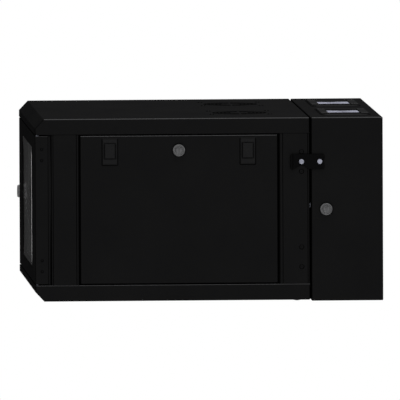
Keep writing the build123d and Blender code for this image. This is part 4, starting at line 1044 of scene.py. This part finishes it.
# The hook's strip is its outline carried between two planes: a neck that rises to the hook's height
def strikeStrip(look, y):
    (riseStart, riseEnd), (low, neck, high), back = look["rise"], look["heights"], look["hook"][1]
    outline = np.array([(y, low), (y, neck), (riseStart, neck), (riseEnd, high), (back, high), (back, low)])
    near, far = (np.column_stack([np.full(len(outline), x), outline]) for x in look["strip"])
    corners = len(outline)
    around = np.arange(corners)
    after = (around + 1) % corners
    sides = np.stack([around, after, after + corners, around + corners], axis=-1)
    caps = [(0, 1, 2), (0, 2, 3), (0, 3, 5), (3, 4, 5)]
    return solid(
        np.concatenate([near, far]), sides,
        caps + [(third + corners, second + corners, first + corners) for first, second, third in caps],
    )


strikeY = nodeBox("strike")[0][1]
footLow, footHigh, footDown, footUp, footSheet = strikeLook["foot"]
foot = roundedBar((footLow, strikeY, footDown), (footHigh, strikeY + footSheet, footUp), strikeLook["round"])
makePiece("strike_foot", [foot], "main", "black_paint", ["strike"])
hookEnd, hookBack, hookLow, hookSheet = strikeLook["hook"]
hook = roundedBar((strikeLook["strip"][0], hookBack - hookSheet, hookLow),
                  (hookEnd, hookBack, strikeLook["heights"][2]), strikeLook["round"])
rivetX, rivetZ = strikeLook["rivet"]
rivet = turned(strikeLook["rivetProfile"], faceRear(rivetX, strikeY, rivetZ), 32)
makePiece("strike_hook", [strikeStrip(strikeLook, strikeY), hook, rivet], "main", "zinc")
print("strike made")

# Cable entries and their brushes
entryLook = {
    "across": 138.0,
    "middleY": -62.0,
    "plate": (200.0, 90.0, 12.0),
    "neck": (175.4, 65.4),
    "levels": (160.0, 165.0, 166.2),
    "opening": (64.0, 58.0),
    "block": (141.0, 14.0),
    "blockTop": 167.8,
    "screwInset": 12.0,
}
entryScrew = [(2.6, 167.2), (2.6, 167.95), (2.2, 168.2), (crossShape(1.5, 0.7), 168.2),
              (crossShape(1.2, 0.5), 167.7), (0.2, 167.6)]


# Rounded plate round the brush opening, its section closing on itself
def entryPlate(look, x):
    (length, depth, corner), (bottom, roof, top), (opening, slot) = (
        look[key] for key in ("plate", "levels", "opening")
    )
    profile = [
        (roundedBox(*look["neck"], 2.0), bottom),
        (roundedBox(*look["neck"], 2.0), roof),
        (roundedBox(length, depth, corner), roof),
        (roundedBox(length, depth, corner), top - 0.7),
        (roundedBox(length - 0.7, depth - 0.7, corner), top - 0.2),
        (roundedBox(length - 1.8, depth - 1.8, corner), top),
        (roundedBox(opening + 1.0, slot + 1.0, 1.4), top),
        (roundedBox(opening, slot, 1.0), top - 0.4),
        (roundedBox(opening, slot, 1.0), bottom),
    ]
    return tube(profile, faceUp(x, look["middleY"], 0.0))


# The two clamp blocks on an entry's plate, with their screws
def entryClamps(look, x):
    slot, top, (blockLength, blockDepth) = look["opening"][1], look["levels"][2], look["block"]
    parts = []
    for sign in (-1, 1):
        y = look["middleY"] + sign * (slot + blockDepth) / 2
        low = (x - blockLength / 2, y - blockDepth / 2, top - 0.2)
        high = (x + blockLength / 2, y + blockDepth / 2, look["blockTop"])
        parts.append(roundedBar(low, high, 0.7, along=0))
        inset = blockLength / 2 - look["screwInset"]
        parts += [turned(entryScrew, faceUp(x + across, y, 0.0), 40) for across in (-inset, inset)]
    return parts


bristleLook = {
    "spacing": 0.62,
    "layers": 4,
    "radius": 0.24,
    "taper": 0.45,
    "levels": (163.3, 165.7),
    "overlap": 0.8,
    "short": 1.0,
    "droop": 0.7,
    "lean": 0.35,
    "scatter": (0.08, 0.12),  # spread of the strands' heights, and of their places along the slot
    "inset": (0.5, 0.3),  # the first strand from the slot's end, and the nearest that any may lean to it
    "root": 0.02,
    "seed": 11,
}


# Strands from both clamp blocks to the middle: a line that droops with the square of its share, carried as a
# thin three-sided tube that tapers to its tip
def bristleStrands(look, entry, draw):
    (opening, slot), middle = entry["opening"], entry["middleY"]
    perRow = int(opening / look["spacing"]) - 1
    number = perRow * look["layers"]
    inset, nearest = look["inset"]
    levelSpread, placeSpread = look["scatter"]
    share = np.array([0.0, 0.35, 0.7, 1.0])
    corner = np.radians([0, 120, 240])
    strand = gridQuads(4, 3)
    caps = np.array([[0, 1, 2], [9, 11, 10]])
    points, faces, count = [], [], 0
    for x in (-entry["across"], entry["across"]):
        for sign in (-1, 1):
            base = np.tile(np.linspace(-opening / 2 + inset, opening / 2 - inset, perRow), look["layers"])
            level = np.repeat(np.linspace(*look["levels"], look["layers"]), perRow)
            level = level + draw.normal(0, levelSpread, number)
            reach = slot / 2 + draw.uniform(-look["short"], look["overlap"], number)
            fall = draw.uniform(0, look["droop"], number)
            across = (base + draw.normal(0, placeSpread, number))[:, None]
            across = across + draw.normal(0, look["lean"], number)[:, None] * share**1.5
            across = x + np.clip(across, -opening / 2 + nearest, opening / 2 - nearest)
            along = middle + sign * (slot / 2 - look["root"] - reach[:, None] * share)
            height = level[:, None] - fall[:, None] * share**2
            radius = (look["radius"] * (1 - look["taper"] * share))[:, None]
            rings = np.stack(
                [
                    across[..., None] + radius * np.cos(corner),
                    np.repeat(along[..., None], 3, axis=-1),
                    height[..., None] + radius * np.sin(corner),
                ],
                axis=-1,
            ).reshape(number, 12, 3)
            starts = (np.arange(number) * 12 + count)[:, None, None]
            points.append(rings.reshape(-1, 3))
            faces += (strand[None] + starts).reshape(-1, 4).tolist()
            faces += (caps[None] + starts).reshape(-1, 3).tolist()
            count += number * 12
    return np.concatenate(points), faces


entryPlaces = (-entryLook["across"], entryLook["across"])
topPlates = [entryPlate(entryLook, x) for x in entryPlaces]
topClamps = [part for x in entryPlaces for part in entryClamps(entryLook, x)]
topStrands = bristleStrands(bristleLook, entryLook, np.random.default_rng(bristleLook["seed"]))
for end, plates, clamps, strands in (
    ("top", topPlates, topClamps, topStrands),
    ("bottom", *([mirroredCopy(part, 2) for part in parts] for parts in (topPlates, topClamps)),
     mirroredCopy(topStrands, 2)),
):
    makePiece(f"entry_frames_{end}", plates, "rear", "black_plastic", [f"cable_entries_{end}"],
              finish="entry_plastic")
    makePiece(f"entry_clamps_{end}", clamps, "rear", "black_plastic", finish="clamp_plastic")
    makePiece(f"brush_strands_{end}", [strands], "rear", "brush_nylon", [f"cable_brushes_{end}"])
print("cable entries made")

# Fan rotors
rotorLook = {
    "hub": 19.0,
    "tip": 54.0,
    "bore": 1.55,
    "height": 17.0,
    "blades": 7,
    "chord": (17.0, 25.0),
    "pitch": (40.0, 24.0),
    "camber": 2.2,
    "thickness": 1.7,
    "thinning": 0.35,
    "sweep": 9.0,
    "clearance": 0.3,
}


# One blade: a thin cambered section carried from hub to tip, its pitch falling and its line swept with the
# square of the span; the section's points wrap round the hub as angle = tangent over radius
def rotorBlade(look, middle, turn):
    span = np.linspace(0, 1, 12)[:, None]
    around = np.linspace(0, 2 * math.pi, 24, endpoint=False)[None, :]
    chord, pitch = (look[key][0] + (look[key][1] - look[key][0]) * span for key in ("chord", "pitch"))
    pitch = np.radians(pitch)
    radius = look["hub"] - 2 + (look["tip"] - look["hub"] + 2) * span
    along = np.cos(around) * chord / 2
    thick = np.sin(around) * look["thickness"] / 2 * (1 - look["thinning"] * span)
    thick = thick + look["camber"] * (1 - np.cos(around) ** 2) * np.ones_like(span)
    tangent = along * np.cos(pitch) - thick * np.sin(pitch) + look["sweep"] * span**2
    reach = look["height"] / 2 - look["clearance"]
    height = np.clip(along * np.sin(pitch) + thick * np.cos(pitch), -reach, reach)
    angle = turn + tangent / radius
    points = np.stack([radius * np.cos(angle), radius * np.sin(angle), height * np.ones_like(angle)], axis=-1)
    return skin(middle + points)


for side, sign in (("right", 1), ("left", -1)):
    low, high = nodeBox(f"fan_rotor_{side}")
    middle = np.array([sign * fanPlaces["across"], fanPlaces["depth"], (low[2] + high[2]) / 2])
    half, hub = (high[2] - low[2]) / 2, rotorLook["hub"]
    hubProfile = [
        (rotorLook["bore"], -half), (hub - 0.6, -half), (hub, -half + 0.6), (hub, half - 1.6),
        (hub - 0.5, half - 0.5), (hub - 1.6, half), (hub - 4.0, half), (hub - 4.2, half - 0.35),
        (2.0, half - 0.35),
    ]
    turns = np.arange(rotorLook["blades"]) * 2 * math.pi / rotorLook["blades"]
    parts = [turned(hubProfile, faceUp(*middle), 72)]
    parts += [rotorBlade(rotorLook, middle, turn) for turn in turns]
    # Fan wheels in the darker coat, which is painted shade under the grille
    makePiece(f"fan_wheel_{side}", parts, f"fan_{side}", "black_plastic", [f"fan_rotor_{side}"],
              finish="darker_paint_and_painted_shade")
print("fans made")

# Door glass, and the drop-out pins with their finger handles
paneEdge = 0.1
pane = roundedBar(*nodeBox("door_glass"), paneEdge, along=1)
makePiece("door_pane", [pane], "door", "tinted_glass", ["door_glass"])

pinLook = {
    "x": 292.0, "y": -620.7, "radius": 2.3, "handleRadius": 1.6, "handleLength": 12.0, "middle": 1.0,
    "fromMiddle": 100.0,
}
for end, sign in (("upper", 1), ("lower", -1)):
    low, high = nodeBox(f"hinge_pin_{end}")
    start, length = low[2] if sign > 0 else high[2], high[2] - low[2]
    radius, handleRadius, handleLength = (pinLook[key] for key in ("radius", "handleRadius", "handleLength"))
    pinProfile = [
        (radius - 0.5, 0.0), (radius, 0.5), (radius, length - 1.2), (radius - 0.25, length - 0.5),
        (radius - 1.1, length),
    ]
    handleProfile = [
        (handleRadius - 0.3, 0.0), (handleRadius, 0.4), (handleRadius, handleLength - 0.6),
        (handleRadius - 0.6, handleLength),
    ]
    pin = turned(pinProfile, faceUp(pinLook["x"], pinLook["y"], start, sign), 40)
    handleZ = pinLook["middle"] + sign * pinLook["fromMiddle"]
    handle = turned(handleProfile, faceRight(pinLook["x"], pinLook["y"], handleZ, -1), 32)
    makePiece(f"door_pin_{end}", [pin, handle], f"hinge_pin_{end}", "zinc", [f"hinge_pin_{end}"])
print("door pieces made")

# Studio: a pale floor far below, clear from underneath, and a dark card that only glossy surfaces see
floorLook = {
    "height": -1.1, "reach": 8.0, "dark": (0.86, 0.86, 0.86), "light": (0.89, 0.89, 0.89), "patches": 3.0,
    "roughness": 0.9,
}
cardLook = {"x": -3.0, "y": (-1.5, -0.64), "z": (-0.9, 0.5), "grey": (0.05, 0.05, 0.05), "strength": 1.0}


# A single face between four corners, which is stage and no part of the cabinet
def stageSheet(name, corners, material):
    mesh = bpy.data.meshes.new(name)
    mesh.from_pydata(corners, [], [(0, 1, 2, 3)])
    mesh.materials.append(material)
    sheet = bpy.data.objects.new(name, mesh)
    scene.collection.objects.link(sheet)
    return sheet


# Matt from above. From below, where Backfacing is 1, it lets all light through
def makeFloor(look):
    reach, z = look["reach"], look["height"]
    material, tree, shader, coordinates = startMaterial("studio_floor")
    noise = addNode(tree, "ShaderNodeTexNoise", Scale=look["patches"])
    tree.links.new(coordinates.outputs["Object"], noise.inputs["Vector"])
    colour = mixColour(tree, noise.outputs["Fac"], look["dark"], look["light"])
    tree.links.new(colour, shader.inputs["Base Color"])
    shader.inputs["Roughness"].default_value = look["roughness"]
    shader.inputs["Specular IOR Level"].default_value = 0.0
    sides = tree.nodes.new("ShaderNodeNewGeometry")
    clear = tree.nodes.new("ShaderNodeBsdfTransparent")
    choose = tree.nodes.new("ShaderNodeMixShader")
    tree.links.new(sides.outputs["Backfacing"], choose.inputs[0])
    tree.links.new(shader.outputs[0], choose.inputs[1])
    tree.links.new(clear.outputs[0], choose.inputs[2])
    tree.links.new(choose.outputs[0], tree.nodes["Material Output"].inputs["Surface"])
    corners = [(x * reach, y * reach, z) for x, y in ((-1, -1), (1, -1), (1, 1), (-1, 1))]
    stageSheet("floor", corners, material)


# A dark glowing face, hidden from the camera and from all but glossy rays
def makeCard(look):
    material, _, shader, _ = startMaterial("dark_card")
    shader.inputs["Base Color"].default_value = (0, 0, 0, 1)
    shader.inputs["Specular IOR Level"].default_value = 0.0
    shader.inputs["Emission Color"].default_value = (*look["grey"], 1)
    shader.inputs["Emission Strength"].default_value = look["strength"]
    x, (front, back), (low, high) = look["x"], look["y"], look["z"]
    card = stageSheet("card", [(x, front, low), (x, back, low), (x, back, high), (x, front, high)], material)
    card.visible_camera = card.visible_diffuse = card.visible_transmission = card.visible_shadow = False


makeFloor(floorLook)
makeCard(cardLook)

# Soft studio light
worldLook = {"ambient": 0.3, "background": 1.0}
lampLook = {
    "overhead": {"place": (0.0, 0.4, 2.6), "aim": (0, -0.3, 0), "size": 3.0, "power": 105.0},
    "rightSide": {"place": (3.2, -0.4, 1.0), "aim": (0, -0.3, 0), "size": 2.2, "power": 46.0},
    "frontFill": {"place": (-0.6, -3.4, 0.9), "aim": (0, -0.3, 0), "size": 2.4, "power": 6.0},
    "leftFill": {"place": (-3.2, -0.4, 1.0), "aim": (0, -0.3, 0), "size": 2.2, "power": 46.0},
    # a very weak one inside the door, towards the barrel of its lock
    "behindDoor": {
        "place": (-0.205, -0.606, 0.001), "aim": (-0.277, -0.608, 0.001), "size": 0.02, "power": 0.12,
    },
}


# Plain ambient light on the surfaces, and a white background for the camera, gloss and glass
def makeWorld(look):
    world = bpy.data.worlds.new("studio")
    world.use_nodes = True
    tree = world.node_tree
    tree.nodes.clear()
    rays = tree.nodes.new("ShaderNodeLightPath")
    seen = rays.outputs["Is Camera Ray"]
    for name in ("Is Glossy Ray", "Is Transmission Ray"):
        either = addNode(tree, "ShaderNodeMath", operation="MAXIMUM")
        tree.links.new(seen, either.inputs[0])
        tree.links.new(rays.outputs[name], either.inputs[1])
        seen = either.outputs[0]
    choose = tree.nodes.new("ShaderNodeMixShader")
    tree.links.new(seen, choose.inputs[0])
    for slot, strength in ((1, look["ambient"]), (2, look["background"])):
        sky = addNode(tree, "ShaderNodeBackground", Color=(1, 1, 1, 1), Strength=strength)
        tree.links.new(sky.outputs[0], choose.inputs[slot])
    tree.links.new(choose.outputs[0], tree.nodes.new("ShaderNodeOutputWorld").inputs["Surface"])
    scene.world = world


# Square area lamps, each turned from its place towards its aim
def makeLamps(look):
    for name, values in look.items():
        lamp = bpy.data.lights.new(name, "AREA")
        lamp.shape = "SQUARE"
        lamp.size, lamp.energy = values["size"], values["power"]
        holder = bpy.data.objects.new(name, lamp)
        holder.location = values["place"]
        aim = Vector(values["aim"]) - Vector(values["place"])
        holder.rotation_euler = aim.to_track_quat("-Z", "Y").to_euler()
        holder.visible_camera = holder.visible_glossy = False
        scene.collection.objects.link(holder)


makeWorld(worldLook)
makeLamps(lampLook)
scene.view_settings.view_transform = "Standard"
print("light made")
